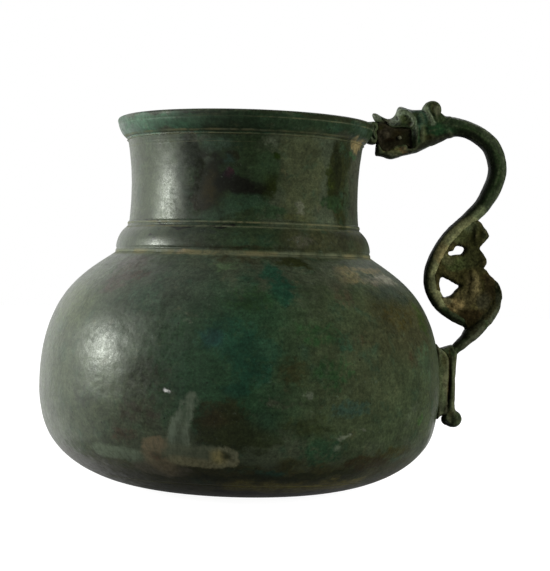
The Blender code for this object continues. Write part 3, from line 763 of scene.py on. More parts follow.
VESSEL_STAINS_AND_SHADOW = [
    # the neck's dark stain
    (-24, 121, 5, 5, 5, 8, 3, 0.95), (-17, 112, 6.5, 8, 6, 7, 2, 0.9), (-5, 118.5, 3, 2, *DARK, 0.8),
    (-14, 107, 7, 5, *DARK, 0.9), (-19, 103.5, 5, 2, 14, 12, 5, 0.85),
    (-14.5, 109, 3.4, 4.4, 19, 14, 3, 0.8), (12, 109, 4, 4, 12, 17, 3, 0.85),
    ([(-9, 109.8), (1, 109.6), (8, 108.6)], 2.6, 3.2, 5, 5.2, 3, 0.85), (-6, 113, 2, 1.3, 12, 7, 10, 0.8),
    (-5.3, 113.6, 1.4, 1.4, 28, 11, 14, 0.85), (-7, 116.8, 2.2, 1.5, 18, 42, 30, 0.6),
    (-17, 117.4, 2.2, 0.9, 50, 65, 44, 0.5), (-14.5, 120, 1.2, 0.9, 45, 60, 40, 0.4),
    (-12, 123, 6, 3.2, 26, 48, 28, 0.65), (-21, 125.6, 6, 1, 50, 56, 38, 0.4),
    (10, 115.5, 7, 4.5, 20, 36, 15, 0.7), (13, 124, 3, 1.4, 70, 85, 52, 0.45),
    (15.5, 119.5, 1.6, 1.8, 10, 20, 2, 0.9), (1, 102.5, 10, 3, 18, 38, 19, 0.75),
    (-12, 99, 8, 2, 24, 45, 24, 0.7), (14, 100, 6, 2.4, 22, 42, 18, 0.7),
    (28, 102, 2.2, 3, 80, 85, 55, 0.55), (26, 98.5, 6, 1.2, 50, 55, 20, 0.6),
    ([(46, 116), (49, 110), (48, 104)], 1.6, 2, 16, 22, 4, 0.7),
    ([(50, 124), (52, 116), (51, 106)], 2.6, 2, *DARK, 0.7), (50, 104, 9, 2.4, 18, 38, 14, 0.6),
    (62, 106, 4, 8, 22, 34, 16, 0.5),
    ([(63, 126.8), (67, 125.4), (74, 125.8)], 2.4, 1.6, 140, 112, 48, 0.75),
    (65, 122.4, 5, 1.2, 24, 55, 20, 0.6),
    # rim and collar
    (6, 134.6, 80, 0.7, 12, 20, 10, 0.7), (50, 134.2, 40, 1, 20, 24, 10, 0.7),
    (64, 130.8, 10, 1.6, 28, 50, 30, 0.6), ([(-52, 95.5), (-30, 95.2), (-4, 95.2)], 2, 0.35, *BLACK, 0.85),
    # painted shadow: a dark brown band under the collar's swelling, at height 87
    ([(-24, 87.2), (0, 87), (22, 87.4)], 4, 0.9, 18, 20, 8, 0.45), (-18, 93, 14, 1.2, 18, 26, 16, 0.6),
    (-43, 91.4, 1.6, 0.5, *BLACK, 0.8), (-39.5, 90, 1.2, 0.8, *BLACK, 0.8),
    (27, 90.5, 6, 2.4, 50, 50, 32, 0.5), (52, 90.6, 6, 2.6, 22, 24, 12, 0.6),
    # the shoulder
    (-45, 82, 9, 2.4, 40, 38, 26, 0.7), (-44, 76, 6, 4.5, 50, 42, 30, 0.6),
    (-36, 78, 5, 2.5, 40, 33, 22, 0.5), (-28, 70, 6, 5, 28, 50, 30, 0.6),
    ([(-8, 83.6), (6, 83.2), (18, 83.8)], 4, 0.9, 22, 22, 9, 0.5), (-4, 81, 5, 1.4, 50, 80, 36, 0.6),
    (11, 79, 4, 3.4, *TEAL, 0.8), (13, 72.5, 4, 3.6, *TEAL, 0.8), (3, 70, 8, 4, *GREEN, 0.5),
    (22, 82.5, 6, 2, 16, 20, 5, 0.8), (33, 78, 6, 3.4, 50, 60, 34, 0.6), (34, 72, 3, 4, 42, 38, 20, 0.5),
    (42, 78.6, 6, 2.6, 100, 85, 35, 0.6), (56, 80.6, 10, 1.6, 100, 88, 38, 0.75),
    (61, 77.2, 7, 1.4, 170, 170, 120, 0.8), (52, 76.6, 5, 1, 100, 90, 55, 0.5),
    (57, 72, 10, 3, 22, 32, 18, 0.85), (70, 64, 4, 6, 28, 45, 10, 0.6),
    # the belly
    (-3, 58, 7, 6, *TEAL, 0.6), (-6.5, 57.5, 2.6, 2.4, *BLUE_TEAL, 0.8), (4, 50, 6, 8, *TEAL, 0.6),
    (0, 40.5, 3, 2.4, *TEAL, 0.8), (9, 55, 4, 3, 22, 55, 28, 0.6), (30, 56.5, 3, 3.6, 22, 52, 26, 0.6),
    (22, 60, 6, 4, *GREEN, 0.5), (26, 46, 6, 5, *GREEN, 0.5), (15, 47, 4, 4, 28, 32, 12, 0.6),
    (31, 35, 6, 2.4, 24, 47, 30, 0.6), (24, 21, 6, 5, 17, 42, 19, 0.55),
    ([(-62, 14), (-42, 9), (-20, 7.5)], 8, 3.5, 26, 27, 10, 0.6), (11, 13, 4, 1.8, 16, 42, 26, 0.7),
    (7, 29, 5, 5, 18, 40, 20, 0.6), (20, 29, 7, 4, 25, 34, 12, 0.6), (56, 33, 2.4, 3, 50, 65, 35, 0.5),
    (61, 30, 2, 1.6, 30, 65, 16, 0.6), (56, 51, 3, 3, 40, 34, 16, 0.4), (64, 49, 5, 6, 34, 56, 26, 0.5),
    (54, 66, 10, 5, 34, 30, 8, 0.5), (36, 57, 3, 2, 42, 37, 17, 0.35), (41, 15.5, 9, 2.6, 24, 20, 7, 0.7),
    (52, 19, 8, 2.4, 36, 36, 10, 0.6), ([(2, 7.6), (20, 7.2), (42, 8.2)], 6, 2, 80, 72, 18, 0.75),
    (14, 2, 50, 3, 11, 10, 4, 0.9), ([(-4, 10.6), (14, 11.2), (34, 12.2)], 6, 1.3, 14, 17, 5, 0.7),
    (-3, 30, 6.5, 7, 18, 22, 8, 0.9), (2, 25, 9, 4, 21, 27, 10, 0.8), (-4.5, 31.5, 3, 3, 28, 22, 9, 0.6),
    (-31, 24.5, 4, 3, 42, 34, 20, 0.5), (-26, 33, 6, 4, 34, 32, 20, 0.55), (-24, 44, 8, 6, 26, 33, 18, 0.5),
    (-28, 41, 2, 1, *PALE, 0.35), (-40, 32, 1.8, 2.4, 69, 85, 45, 0.5), (-44, 37, 6, 5, 32, 38, 26, 0.4),
    (19.2, 39.6, 1.6, 1.6, 80, 96, 62, 0.6), (13, 37, 5, 2, 50, 60, 34, 0.4),
    ([(28.5, 25), (31.5, 26.6)], 0.8, 0.5, *PALE, 0.8), (35.6, 27, 1.1, 0.7, *PALE, 0.7),
    (28, 22, 1, 0.8, *PALE, 0.5), (-13, 64, 2, 1.6, *PALE, 0.3),
    # the back, which has the same tempers
    (150, 55, 16, 12, *TEAL, 0.6), (190, 40, 12, 12, *GREEN, 0.6), (-120, 62, 14, 9, *OLIVE, 0.5),
    (-150, 30, 12, 7, *BROWN, 0.5), (165, 22, 9, 6, 45, 56, 30, 0.6), (-95, 45, 9, 12, *GREEN, 0.4),
    (200, 112, 12, 7, *DARK, 0.6), (190, 108, 8, 4, *BLACK, 0.45), (140, 108, 10, 7, *TEAL, 0.5),
    (-130, 104, 12, 6, *OLIVE, 0.5), (-165, 77, 9, 5, 50, 62, 36, 0.6), (110, 80, 8, 2.4, *TAN, 0.5),
    (125, 32, 7, 9, *BROWN, 0.5), (-110, 24, 9, 7, 50, 55, 32, 0.5),
]

# The pale mark near the base, like a cross with a broken top, and its crusts, sharper than the stains
VESSEL_MARKS = [
    ([(-28, 13.4), (-22, 12.4), (-15, 13)], 3.2, 2, 85, 78, 50, 0.7),
    ([(-11, 38), (-12.4, 34), (-13.6, 28), (-14.6, 20)], 2.2, 2, 95, 122, 80, 0.62),
    ([(-15, 31), (-16.2, 26), (-16.8, 20)], 1, 2, 130, 165, 112, 0.8),
    ([(-11, 36), (-11.8, 30), (-12.4, 24)], 0.7, 2, 125, 155, 105, 0.7),
    ([(-41, 18.2), (-36, 17.9), (-29, 17.4)], 3.4, 2.1, 110, 142, 90, 0.9),
    ([(-17, 20), (-10, 19.4), (-4, 19.6)], 2.6, 2.6, 105, 120, 72, 0.9),
    ([(-16, 16.8), (-8, 15.8), (-1, 16.8)], 2.4, 1.4, 230, 220, 120, 0.98),
    ([(-22.6, 21.5), (-22.6, 17), (-19, 14)], 2.8, 2.6, 150, 122, 68, 0.85),
    (-20, 22.6, 2.2, 2, 150, 120, 68, 0.8), (-22, 17.8, 1.4, 1.4, 85, 55, 30, 0.85),
    ([(-4.5, 20.8), (-1.5, 21.4), (0.6, 18.8), (-1, 16)], 1, 0.9, 170, 170, 100, 0.7),
    (-4.2, 18.6, 1.9, 2.2, 310, 270, 110, 0.95), (-2, 18.8, 1, 1.2, 20, 20, 4, 0.95),
    (-2.6, 20.6, 0.6, 0.5, 20, 20, 6, 0.8), (-0.6, 17.2, 0.5, 0.5, 25, 25, 8, 0.8),
    (-24, 85.7, 4, 0.8, 200, 160, 85, 0.7), (-17.3, 40, 0.64, 0.75, *CHIP, 1),
]

# Where the patina is smooth enough to shine: azimuth, height, reach each way, shine, strength
VESSEL_POLISH = [
    (-75, 45, 50, 50, 1, 1), (-28, 52, 14, 30, 1, 0.5), (-66, 110, 34, 20, 1, 1), (-26, 112, 7, 16, 1, 0.9),
    (-60, 91, 34, 6, 1, 1), (-10, 91, 30, 5, 1, 0.3), (-2, 110, 10, 10, 0, 0.5),
    (-45, 56.5, 2.6, 2.4, 0, 0.3), (-36.5, 59.5, 3, 2.6, 0, 0.3), (-46, 48.5, 3, 3, 0, 0.25),
    (-32, 50, 3, 6, 0, 0.25), (-60, 131, 60, 4, 1, 0.35), (86, 27, 16, 14, 1, 0.8),
    (-30, 18, 26, 3, 0, 0.6), (170, 60, 30, 30, 1, 0.6), (200, 112, 30, 14, 1, 0.5),
]

# On the handle's pieces: x, height, reach each way, colour, strength
HANDLE_STAINS_AND_SHADING = [
    # the bar: painted shade along its inner side, green down its middle, painted light along its outer side
    ([(74, 131.5), (80, 132.6), (84.4, 131.6), (88, 128.6), (90.6, 124), (91.4, 119.3), (90.4, 114.6),
     (88, 109.8), (84, 105), (79.5, 100.6)], 1.5, 1.5, 6, 9, 3, 0.9),
    ([(76, 134.5), (82, 134.6), (87.2, 131.8), (91, 127.4), (92.9, 120.6), (91.7, 114),
     (88.6, 107.6)], 0.9, 0.9, 12, 26, 7, 0.7),
    ([(80, 137.2), (84.8, 135.6), (89, 132.7), (92.9, 128.8), (95.3, 124.1), (96, 119.4), (94.6, 113),
     (91.4, 107.2), (87, 102.8)], 1.5, 1.5, 25, 34, 17, 0.8),
    ([(87.6, 104.6), (84.6, 101.6), (82.6, 99.8)], 1.6, 1.6, 100, 120, 55, 0.85),
    # round the lower bend: painted shade down its outer side and painted light along its inner side
    ([(79.8, 101.7), (76.6, 98.7), (73.9, 95.6), (71.1, 91.3), (69.3, 87.2), (67.7, 82.6), (67.2, 78.5),
     (67.6, 74.4), (69.4, 70.4), (72.4, 66.9), (76.2, 64.2), (80.8, 62.2)], 1.2, 1.2, 5, 6, 2, 0.95),
    ([(84, 100.2), (80.2, 97.8), (76.8, 94), (74.2, 89.9), (72.4, 85.6), (71.4, 81.4), (71.3, 77.2),
     (72.2, 73.4), (74.2, 70.4)], 2, 2, 170, 175, 78, 0.9),
    ([(74, 90), (72.4, 86.2)], 1.7, 1.7, 200, 165, 68, 0.8),
    ([(71, 80), (71, 76)], 1.2, 1.2, 50, 55, 24, 0.7),
    ([(76, 69.4), (79.2, 67.2), (82, 65.6)], 1.2, 1.2, 50, 52, 22, 0.8),
    # the head
    (59.6, 140.8, 4.4, 0.9, 12, 32, 17, 0.85), (56.4, 139.6, 1, 1.2, 130, 160, 110, 0.85),
    (57.4, 137.2, 2.6, 1.7, 45, 62, 20, 0.85),
    ([(55.6, 138.8), (57.4, 139.4), (60, 138.6), (61.7, 136.4),
     (61.9, 134.6)], 0.8, 0.7, 120, 155, 90, 0.9), (60.4, 135.6, 1.1, 0.9, 30, 36, 12, 0.85),
    (54.4, 136, 2, 1.5, 115, 140, 100, 0.85), (48, 138.2, 2, 1, 85, 100, 75, 0.85),
    (51.4, 136.2, 1.6, 0.9, 50, 40, 22, 0.8), (49.6, 135.8, 1.2, 0.7, 14, 14, 5, 0.8),
    (64.4, 137, 2, 3.8, 26, 55, 30, 0.85), (62.9, 131.6, 0.6, 3, 60, 75, 42, 0.6),
    (63.7, 131, 0.45, 2.6, 10, 35, 12, 0.85), (65.2, 131.4, 1.1, 3.4, 75, 85, 34, 0.8),
    (71, 133.4, 5, 2.4, 11, 34, 12, 0.85), (76, 136, 4, 1.8, 14, 24, 10, 0.7),
    (67.6, 130.2, 1.8, 1.3, 14, 14, 4, 0.85), (68.8, 141.6, 1.4, 1.8, 36, 40, 14, 0.8),
    ([(65.6, 141.4), (66.6, 139.2), (67.8, 137), (68.6, 135.6)], 1, 0.9, 90, 115, 68, 0.85),
    ([(67, 144), (69, 144.5), (71, 143.6), (72, 141.6)], 0.7, 0.7, 8, 12, 4, 0.9),
    (70.4, 140.4, 1.2, 1.8, 70, 75, 40, 0.8),
    ([(64, 127), (70, 129.6), (76, 131.6)], 1.3, 0.9, 14, 15, 8, 0.8),
    (54.4, 125.4, 3, 1.5, 95, 90, 30, 0.9), (58.3, 125.8, 1.2, 1.3, 120, 80, 34, 0.9),
    (60.2, 126.3, 1, 1.4, 12, 8, 4, 0.9), (53, 123.4, 3.6, 0.5, 70, 70, 45, 0.6),
    (62.4, 126.6, 1.2, 0.9, 20, 20, 8, 0.8), (49.2, 125.6, 1.3, 2.4, 4, 6, 2, 0.95),
    (56.5, 130.3, 1.3, 1.2, 80, 65, 50, 0.9),
    # where it meets the leaf and the strap
    ([(88.6, 62.6), (85.4, 60), (83, 58.2)], 1.6, 1.6, 12, 10, 3, 0.85),
    ([(89, 60.6), (86.4, 57.6), (84, 55), (82.2, 53.4)], 0.9, 0.9, 70, 75, 45, 0.8),
    (80.2, 54.6, 2.2, 1.6, 11, 13, 5, 0.9),
]

LEAF_STAINS = [
    (83.6, 98.2, 2.8, 2.2, 100, 120, 55, 0.85), (86.6, 92, 3.6, 8, 22, 23, 7, 0.85),
    (90, 95.4, 1.6, 3, 22, 26, 12, 0.85), (80.2, 94.6, 3, 2.4, 55, 62, 22, 0.8),
    (79, 84.8, 5, 2.6, 50, 62, 20, 0.9), (75.6, 86, 2.2, 1.6, 100, 100, 42, 0.8),
    (84.4, 86.4, 2.2, 3, 36, 38, 13, 0.8), (89, 86, 1.8, 3, 14, 13, 4, 0.85),
    (84.6, 80.4, 2.6, 2.4, 45, 40, 13, 0.8), (85.4, 76.4, 2.4, 4.4, 105, 88, 36, 0.9),
    (83, 71, 3, 3, 70, 60, 24, 0.85), (78.6, 69.4, 3, 2.2, 190, 145, 58, 0.95),
    (76, 70.8, 1.6, 1.3, 150, 140, 65, 0.8), (80.4, 73.2, 1.6, 2, 75, 65, 24, 0.8),
    (90.2, 80, 2.2, 1.4, 30, 22, 7, 0.8), (91.4, 76, 2.2, 4.4, 20, 16, 6, 0.9),
    (89.2, 71, 2.4, 3, 45, 43, 22, 0.8), (94.8, 76, 1.1, 4, 6, 8, 3, 0.95),
    (94.6, 70.6, 1.2, 3, 20, 23, 12, 0.9), (84.8, 65.4, 5, 2.2, 30, 22, 8, 0.95),
    (85.6, 61.6, 3, 2.4, 12, 10, 3, 0.95),
    ([(92.8, 68.4), (91, 65.8), (88.6, 63.2)], 1.4, 1.4, 24, 24, 10, 0.8),
    ([(94.6, 67.6), (92.6, 64.4), (90, 61.6), (87.4, 59.2)], 0.9, 0.9, 55, 62, 36, 0.85),
]

STRAP_STAINS_AND_SHADING = [
    # painted light along the strap's outer edge, painted shade beside it, and painted shadow in the groove
    # against the pad, down to height 31
    ([(79.6, 50), (79.2, 42), (79.2, 34), (79.4, 30.5)], 0.7, 0.7, 60, 63, 30, 0.85),
    ([(78.2, 50), (78, 42), (78, 34)], 0.5, 0.5, 20, 22, 8, 0.85), (77.2, 44, 0.5, 8, 26, 22, 7, 0.85),
    (76.4, 31.6, 0.7, 3.2, 6, 5, 2, 0.95), (78.6, 29.4, 1.6, 1.6, 40, 40, 16, 0.8),
    (80.2, 27.4, 1.8, 1.9, 20, 26, 11, 0.85), (77, 27.6, 1.6, 1.2, 40, 44, 22, 0.8),
    (77, 25.6, 2, 1.4, 12, 12, 4, 0.85), (79.4, 24.6, 3, 1, 6, 8, 3, 0.9),
    (78.8, 53.8, 2.2, 2, 11, 13, 5, 0.95), (75.6, 53.6, 1.4, 0.7, 50, 55, 34, 0.8),
]

PAD_STAINS_AND_SHADOW = [
    (75, 42, 2.4, 12, 80, 100, 46, 0.95), (75.8, 41, 0.9, 4, 120, 125, 62, 0.8),
    # painted shadow along the groove where the pad meets the strap, at x 77.2 and 76.6
    (75.6, 49, 1.4, 3, 55, 55, 20, 0.8), (77.2, 44, 0.5, 8, 30, 24, 8, 0.8),
    (76.8, 37, 0.6, 2.4, 50, 35, 14, 0.8), (76.6, 31.4, 0.9, 4, 6, 5, 2, 0.95),
    (73.8, 31, 1.2, 3.4, 70, 80, 45, 0.8),
]

FILL_STAINS = [
    (54, 130, 9, 8, 14, 12.5, 6, 1), (50.6, 131, 2.2, 2.6, 40, 34, 21, 0.85),
    (56.5, 131.4, 2.4, 1.6, 18, 14, 5, 0.8), (52, 127.6, 2, 1.6, 14, 12, 6, 0.8),
    (49, 134.2, 1.4, 1.2, 22, 22, 6, 0.8), (53.2, 129, 1.8, 0.8, 8, 5, 2, 0.9),
    (58.6, 130, 1.6, 2.4, 14, 15, 6, 0.8),
]

LUG_STAINS = [
    ([(46.3, 134.2), (44.9, 131.9), (46.4, 129.4)], 0.4, 0.4, 70, 85, 50, 0.9),
    ([(47.5, 133.4), (46.5, 131.7), (47.5, 130.2)], 0.4, 0.4, 70, 85, 50, 0.9),
    (47.6, 132.4, 0.7, 1, 20, 30, 8, 0.9), (48.6, 129.4, 0.8, 1.6, 12, 14, 2, 0.9),
    (46.6, 128.6, 1.6, 0.7, 45, 55, 25, 0.8),
]


# ---------------- materials


class Nodes:
    """Short calls for the nodes of a material or world: sockets or numbers go in, and a socket comes out."""

    def __init__(self, owner, coordinates="Object", scale=1 / MM):
        owner.use_nodes = True
        self.owner, self.tree = owner, owner.node_tree
        self.place = self.scaled(self.made("ShaderNodeTexCoord")[coordinates], scale)

    def made(self, kind, inputs=(), **properties):
        """A new node's outputs. Its inputs come in their own order, or by name or number."""
        node = self.tree.nodes.new(kind)
        for key, value in properties.items():
            setattr(node, key, value)
        for key, value in inputs.items() if isinstance(inputs, dict) else enumerate(inputs):
            self.feed(node.inputs[key], value)
        return node.outputs

    def feed(self, socket, value):
        if isinstance(value, bpy.types.NodeSocket):
            self.tree.links.new(value, socket)
        elif socket.type == "RGBA" and isinstance(value, tuple) and len(value) == 3:
            socket.default_value = (*value, 1)
        else:
            socket.default_value = value

    def scaled(self, vector, by):
        by = by if isinstance(by, tuple) else (by, by, by)
        return self.made("ShaderNodeVectorMath", (vector, by), operation="MULTIPLY")[0]

    def noise(self, size, detail=3.0, roughness=0.55, stretch=None, distortion=0.0):
        """Noise whose lumps are about this many millimetres across, from 0 to 1."""
        place = self.scaled(self.place, stretch) if stretch else self.place
        shape = {"Scale": 1 / size, "Detail": detail, "Roughness": roughness, "Distortion": distortion}
        return self.made("ShaderNodeTexNoise", {"Vector": place, **shape})["Fac"]

    def cells(self, size):
        """The distance to the nearest of points scattered this many millimetres apart."""
        return self.made("ShaderNodeTexVoronoi", {"Vector": self.place, "Scale": 1 / size})["Distance"]

    def toward(self, *target):
        """How squarely each direction faces a target, up to 1."""
        inputs = self.place, Vector(target).normalized()
        return self.made("ShaderNodeVectorMath", inputs, operation="DOT_PRODUCT")["Value"]

    def math(self, operation, *values, clamp=False):
        return self.made("ShaderNodeMath", values, operation=operation, use_clamp=clamp)[0]

    def times(self, first, second):
        return self.math("MULTIPLY", first, second)

    def plus(self, first, second, clamp=False):
        return self.math("ADD", first, second, clamp=clamp)

    def minus(self, first, second, clamp=False):
        return self.math("SUBTRACT", first, second, clamp=clamp)

    def fade(self, value, low, high, to_low=0.0, to_high=1.0):
        inputs = value, low, high, to_low, to_high
        return self.made("ShaderNodeMapRange", inputs, interpolation_type="SMOOTHSTEP")[0]

    def mix(self, amount, first, second, blend="MIX"):
        inputs = {0: amount, 6: first, 7: second}
        return self.made("ShaderNodeMix", inputs, data_type="RGBA", blend_type=blend)[2]

    def attribute(self, name):
        return self.made("ShaderNodeAttribute", attribute_name=name)

    def bump(self, height, strength, depth, normal=None):
        """depth is how many millimetres the height's range of 1 stands for."""
        inputs = {"Strength": strength, "Distance": depth * MM, "Height": height}
        if normal:
            inputs["Normal"] = normal
        return self.made("ShaderNodeBump", inputs)[0]

    def layer(self, name, colour, ragged=1.0, size=2.6, low=0.12, high=0.8, most=1.0):
        """A stored layer of spots over a colour. Noise breaks up their edges, which run from low to high."""
        spots = self.attribute(name)
        grain = self.times(self.minus(self.noise(size, 6, 0.65), 0.5), ragged * 2)
        cover = self.fade(self.plus(spots["Alpha"], grain), low, high, 0.0, most)
        return self.mix(self.times(cover, self.fade(spots["Alpha"], 0.0, 0.2)), colour, spots["Color"])

    def mottled(self, colour, size, least, most):
        """Light and dark clouds over a colour, from least to most times as bright."""
        return self.mix(1.0, colour, self.fade(self.noise(size, 6, 0.65), 0.3, 0.7, least, most), "MULTIPLY")

    def surface(self, colour, roughness, **others):
        """The finished material."""
        sockets = self.tree.nodes["Principled BSDF"].inputs
        values = {"Base Color": colour, "Roughness": roughness, "Metallic": 0.0, **others}
        for name, value in values.items():
            self.feed(sockets[name], value)
        return self.owner

    def patina(self, colour, roughness, normal, specular):
        """Bronze under patina, which doesn't shine as metal does, and shines a little green."""
        shine = {"Specular IOR Level": specular, "Specular Tint": (0.93, 1.0, 0.87)}
        return self.surface(colour, roughness, Normal=normal, **shine)


def vessel_material():
    n = Nodes(bpy.data.materials.new("Bronze, dark green patina"))
    colour = n.layer("ground", (0.04, 0.05, 0.028), ragged=0.8, size=7)
    clouds = n.noise(7, 6, 0.68, distortion=0.4)
    colour = n.mix(n.fade(clouds, 0.5, 0.72, 0, 0.5), colour, (0.018, 0.046, 0.026))
    colour = n.mix(n.fade(n.noise(5.2, 6, 0.7), 0.56, 0.78, 0, 0.5), colour, (0.048, 0.037, 0.018))
    # stains, with the painted shadow under the collar
    colour = n.layer("stain", colour, ragged=1.1, size=2.4)
    for size, least, most in ((9, 0.78, 1.24), (4, 0.86, 1.16), (1.3, 0.76, 1.28), (0.7, 0.8, 1.25)):
        colour = n.mottled(colour, size, least, most)
    strokes = n.fade(n.noise(1.3, 5, 0.65, stretch=(1, 1, 0.3)), 0.34, 0.6, 0.5, 1.0)
    colour = n.layer("mark", colour, ragged=0.8, size=1.9, low=0.12, high=0.8, most=strokes)
    # faint rings left by the lathe
    rings = n.noise(1.3, 5, 0.62, stretch=(0.07, 0.07, 1.0))
    colour = n.mix(1.0, colour, n.fade(rings, 0.3, 0.7, 0.9, 1.1), "MULTIPLY")
    specks = n.times(n.fade(n.cells(2.3), 0.2, 0.08), n.fade(n.noise(7, 4), 0.5, 0.64))
    colour = n.mix(n.times(specks, 0.8), colour, (0.007, 0.008, 0.005))
    pale = n.fade(n.noise(1.2, 5, 0.7), 0.55, 0.74)
    pale = n.times(pale, n.fade(n.noise(10, 4), 0.46, 0.62))
    colour = n.mix(n.times(pale, 0.55), colour, (0.085, 0.11, 0.075))
    # pale earth in the turned lines and in the seam above the base: height, half width, cover by side
    earth_lines = (
        (127.9, 0.3, 1.0, 0.4), (126.7, 0.2, 0.6, 0.35), (132.3, 0.2, 0.15, 0.5), (96.3, 0.26, 0.95, 0.7),
        (94.7, 0.24, 0.75, 0.5), (85.6, 0.75, 1.0, 0.9), (124.0, 0.12, 0.3, 0.0),
        (BASE_SEAM_HEIGHT + 0.2, 0.3, 0.2, 0.2),
    )
    split = n.made("ShaderNodeSeparateXYZ", (n.place,))
    side = n.fade(split["X"], -15, 25)
    wander = n.times(n.minus(n.noise(7, 3), 0.5), 0.5)
    height = n.plus(split["Z"], wander)
    lines = None
    for level, half, left, right in earth_lines:
        away = n.math("ABSOLUTE", n.minus(height, level))
        line = n.times(n.fade(away, half * 1.8, half * 0.3), n.fade(side, 0, 1, left, right))
        lines = line if lines is None else n.math("MAXIMUM", lines, line)
    patchy = n.fade(n.noise(5, 6, 0.7, stretch=(1, 1, 0.25)), 0.36, 0.58, 0.15, 1.0)
    outside = n.minus(1.0, n.attribute("inside")["Fac"], clamp=True)
    lines = n.times(n.times(lines, patchy), outside)
    dust = n.mix(n.fade(n.noise(9, 4), 0.4, 0.6), (0.12, 0.135, 0.078), (0.165, 0.152, 0.074))
    colour = n.mix(n.times(lines, 0.85), colour, dust)
    earthy = n.mix(n.fade(n.noise(6, 6, 0.7), 0.35, 0.65), (0.028, 0.03, 0.018), (0.075, 0.06, 0.035))
    colour = n.mix(n.minus(1.0, outside), colour, earthy)
    polish = n.attribute("polish")
    worn = n.times(polish["Color"], polish["Alpha"])
    worn = n.plus(worn, n.fade(n.noise(3.4, 6, 0.68), 0.3, 0.7, -0.3, 0.16))
    dull = n.fade(worn, 0.1, 0.8, 0.6, 0.34)
    dull = n.plus(dull, n.fade(n.noise(1.1, 5, 0.7), 0.35, 0.75, -0.03, 0.1))
    dull = n.plus(dull, n.fade(rings, 0.3, 0.7, -0.02, 0.03))
    dull = n.plus(dull, n.times(lines, 0.35), clamp=True)
    # the belly was hammered, the neck and collar only turned
    hammered = n.fade(split["Z"], 84, 90, 1.0, 0.12)
    hills = n.bump(n.times(n.noise(7, 3, 0.5), hammered), 0.5, 0.6)
    turned = n.bump(rings, 0.3, 0.06, hills)
    grained = n.bump(n.noise(1.1, 4, 0.6), 0.35, 0.03, turned)
    return n.patina(colour, dull, grained, 0.35)


def cast_material(name, dark, light, warm, ridge, crease, roughness, specular, contrast=1.0):
    """Cast bronze that is worn pale on its ridges, with earth and painted shade darkening its creases."""
    n = Nodes(bpy.data.materials.new(name))
    colour = n.mix(n.fade(n.noise(7, 6, 0.65), 0.38, 0.62), dark, light)
    colour = n.mix(n.fade(n.noise(4, 6, 0.7), 0.54, 0.76, 0, 0.6), colour, warm)
    # stains, and on the bar and strap painted shade and light, with painted shadow between strap and pad
    colour = n.layer("stain", colour, ragged=0.7, size=1.3)
    grain = n.times(n.minus(n.noise(0.9, 5), 0.5), 0.9)
    relief = n.plus(n.attribute("relief")["Fac"], grain)
    colour = n.mix(n.fade(relief, 0.1, 0.8, 0, 0.5), colour, ridge)
    # painted shade with earth: the creases darkened by how deep they lie
    colour = n.mix(n.fade(relief, -0.1, -0.7, 0, 0.7), colour, crease)
    colour = n.mottled(colour, 3.2, 1 - 0.3 * contrast, 1 + 0.32 * contrast)
    colour = n.mottled(colour, 0.8, 1 - 0.32 * contrast, 1 + 0.36 * contrast)
    dull = n.fade(n.noise(3, 5, 0.6), 0.3, 0.7, roughness - 0.1, roughness + 0.12)
    coarse = n.bump(n.noise(1.5, 4, 0.6), 0.5, 0.14)
    grained = n.bump(n.noise(0.45, 4, 0.65), 0.45, 0.06, coarse)
    return n.patina(colour, dull, grained, specular)


def floor_material():
    """White paper over a lit table, so that the shadows on it are faint."""
    n = Nodes(bpy.data.materials.new("Lit paper"))
    paper = n.mix(n.noise(40, 3), (0.3, 0.3, 0.298), (0.32, 0.32, 0.318))
    glow = {"Emission Color": (1, 1, 1), "Emission Strength": 0.95}
    return n.surface(paper, 0.9, **{"Specular IOR Level": 0.1}, **glow)


# ---------------- the pieces together


def show(obj, node, material):
    """Puts a finished surface on the frame in place of its CAD node."""
    obj.data.materials.clear()
    obj.data.materials.append(material)
    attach(obj, "root")
    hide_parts(node)


def build_vessel():
    bronze = vessel_material()
    polish = [(*where, *(1000 * shine,) * 3, strength) for *where, shine, strength in VESSEL_POLISH]
    for make in (base_dish, body_shell, neck_tube, collar_ring, rim_ring):
        obj, node = make(), make.__name__
        co = coordinates(obj)
        radius = np.maximum(np.hypot(co[:, 0], co[:, 1]), 1)
        azimuth = np.degrees(np.arctan2(co[:, 0], -co[:, 1]))

        def moved(sideways, up):
            return np.stack([azimuth + np.degrees(sideways / radius), co[:, 2] + up], 1)

        shift, slight = warp(co), warp(co, 0.6, 0.45)
        ragged = moved(shift[:, 0], shift[:, 1])
        stain(obj, "ground", VESSEL_GROUNDS, moved(2 * shift[:, 1], 1.5 * shift[:, 2]), wrap=360)
        stain(obj, "stain", VESSEL_STAINS_AND_SHADOW, ragged, wrap=360)
        stain(obj, "mark", VESSEL_MARKS, moved(slight[:, 0], slight[:, 1]), wrap=360)
        stain(obj, "polish", polish, ragged, wrap=360)
        show(obj, node, bronze)


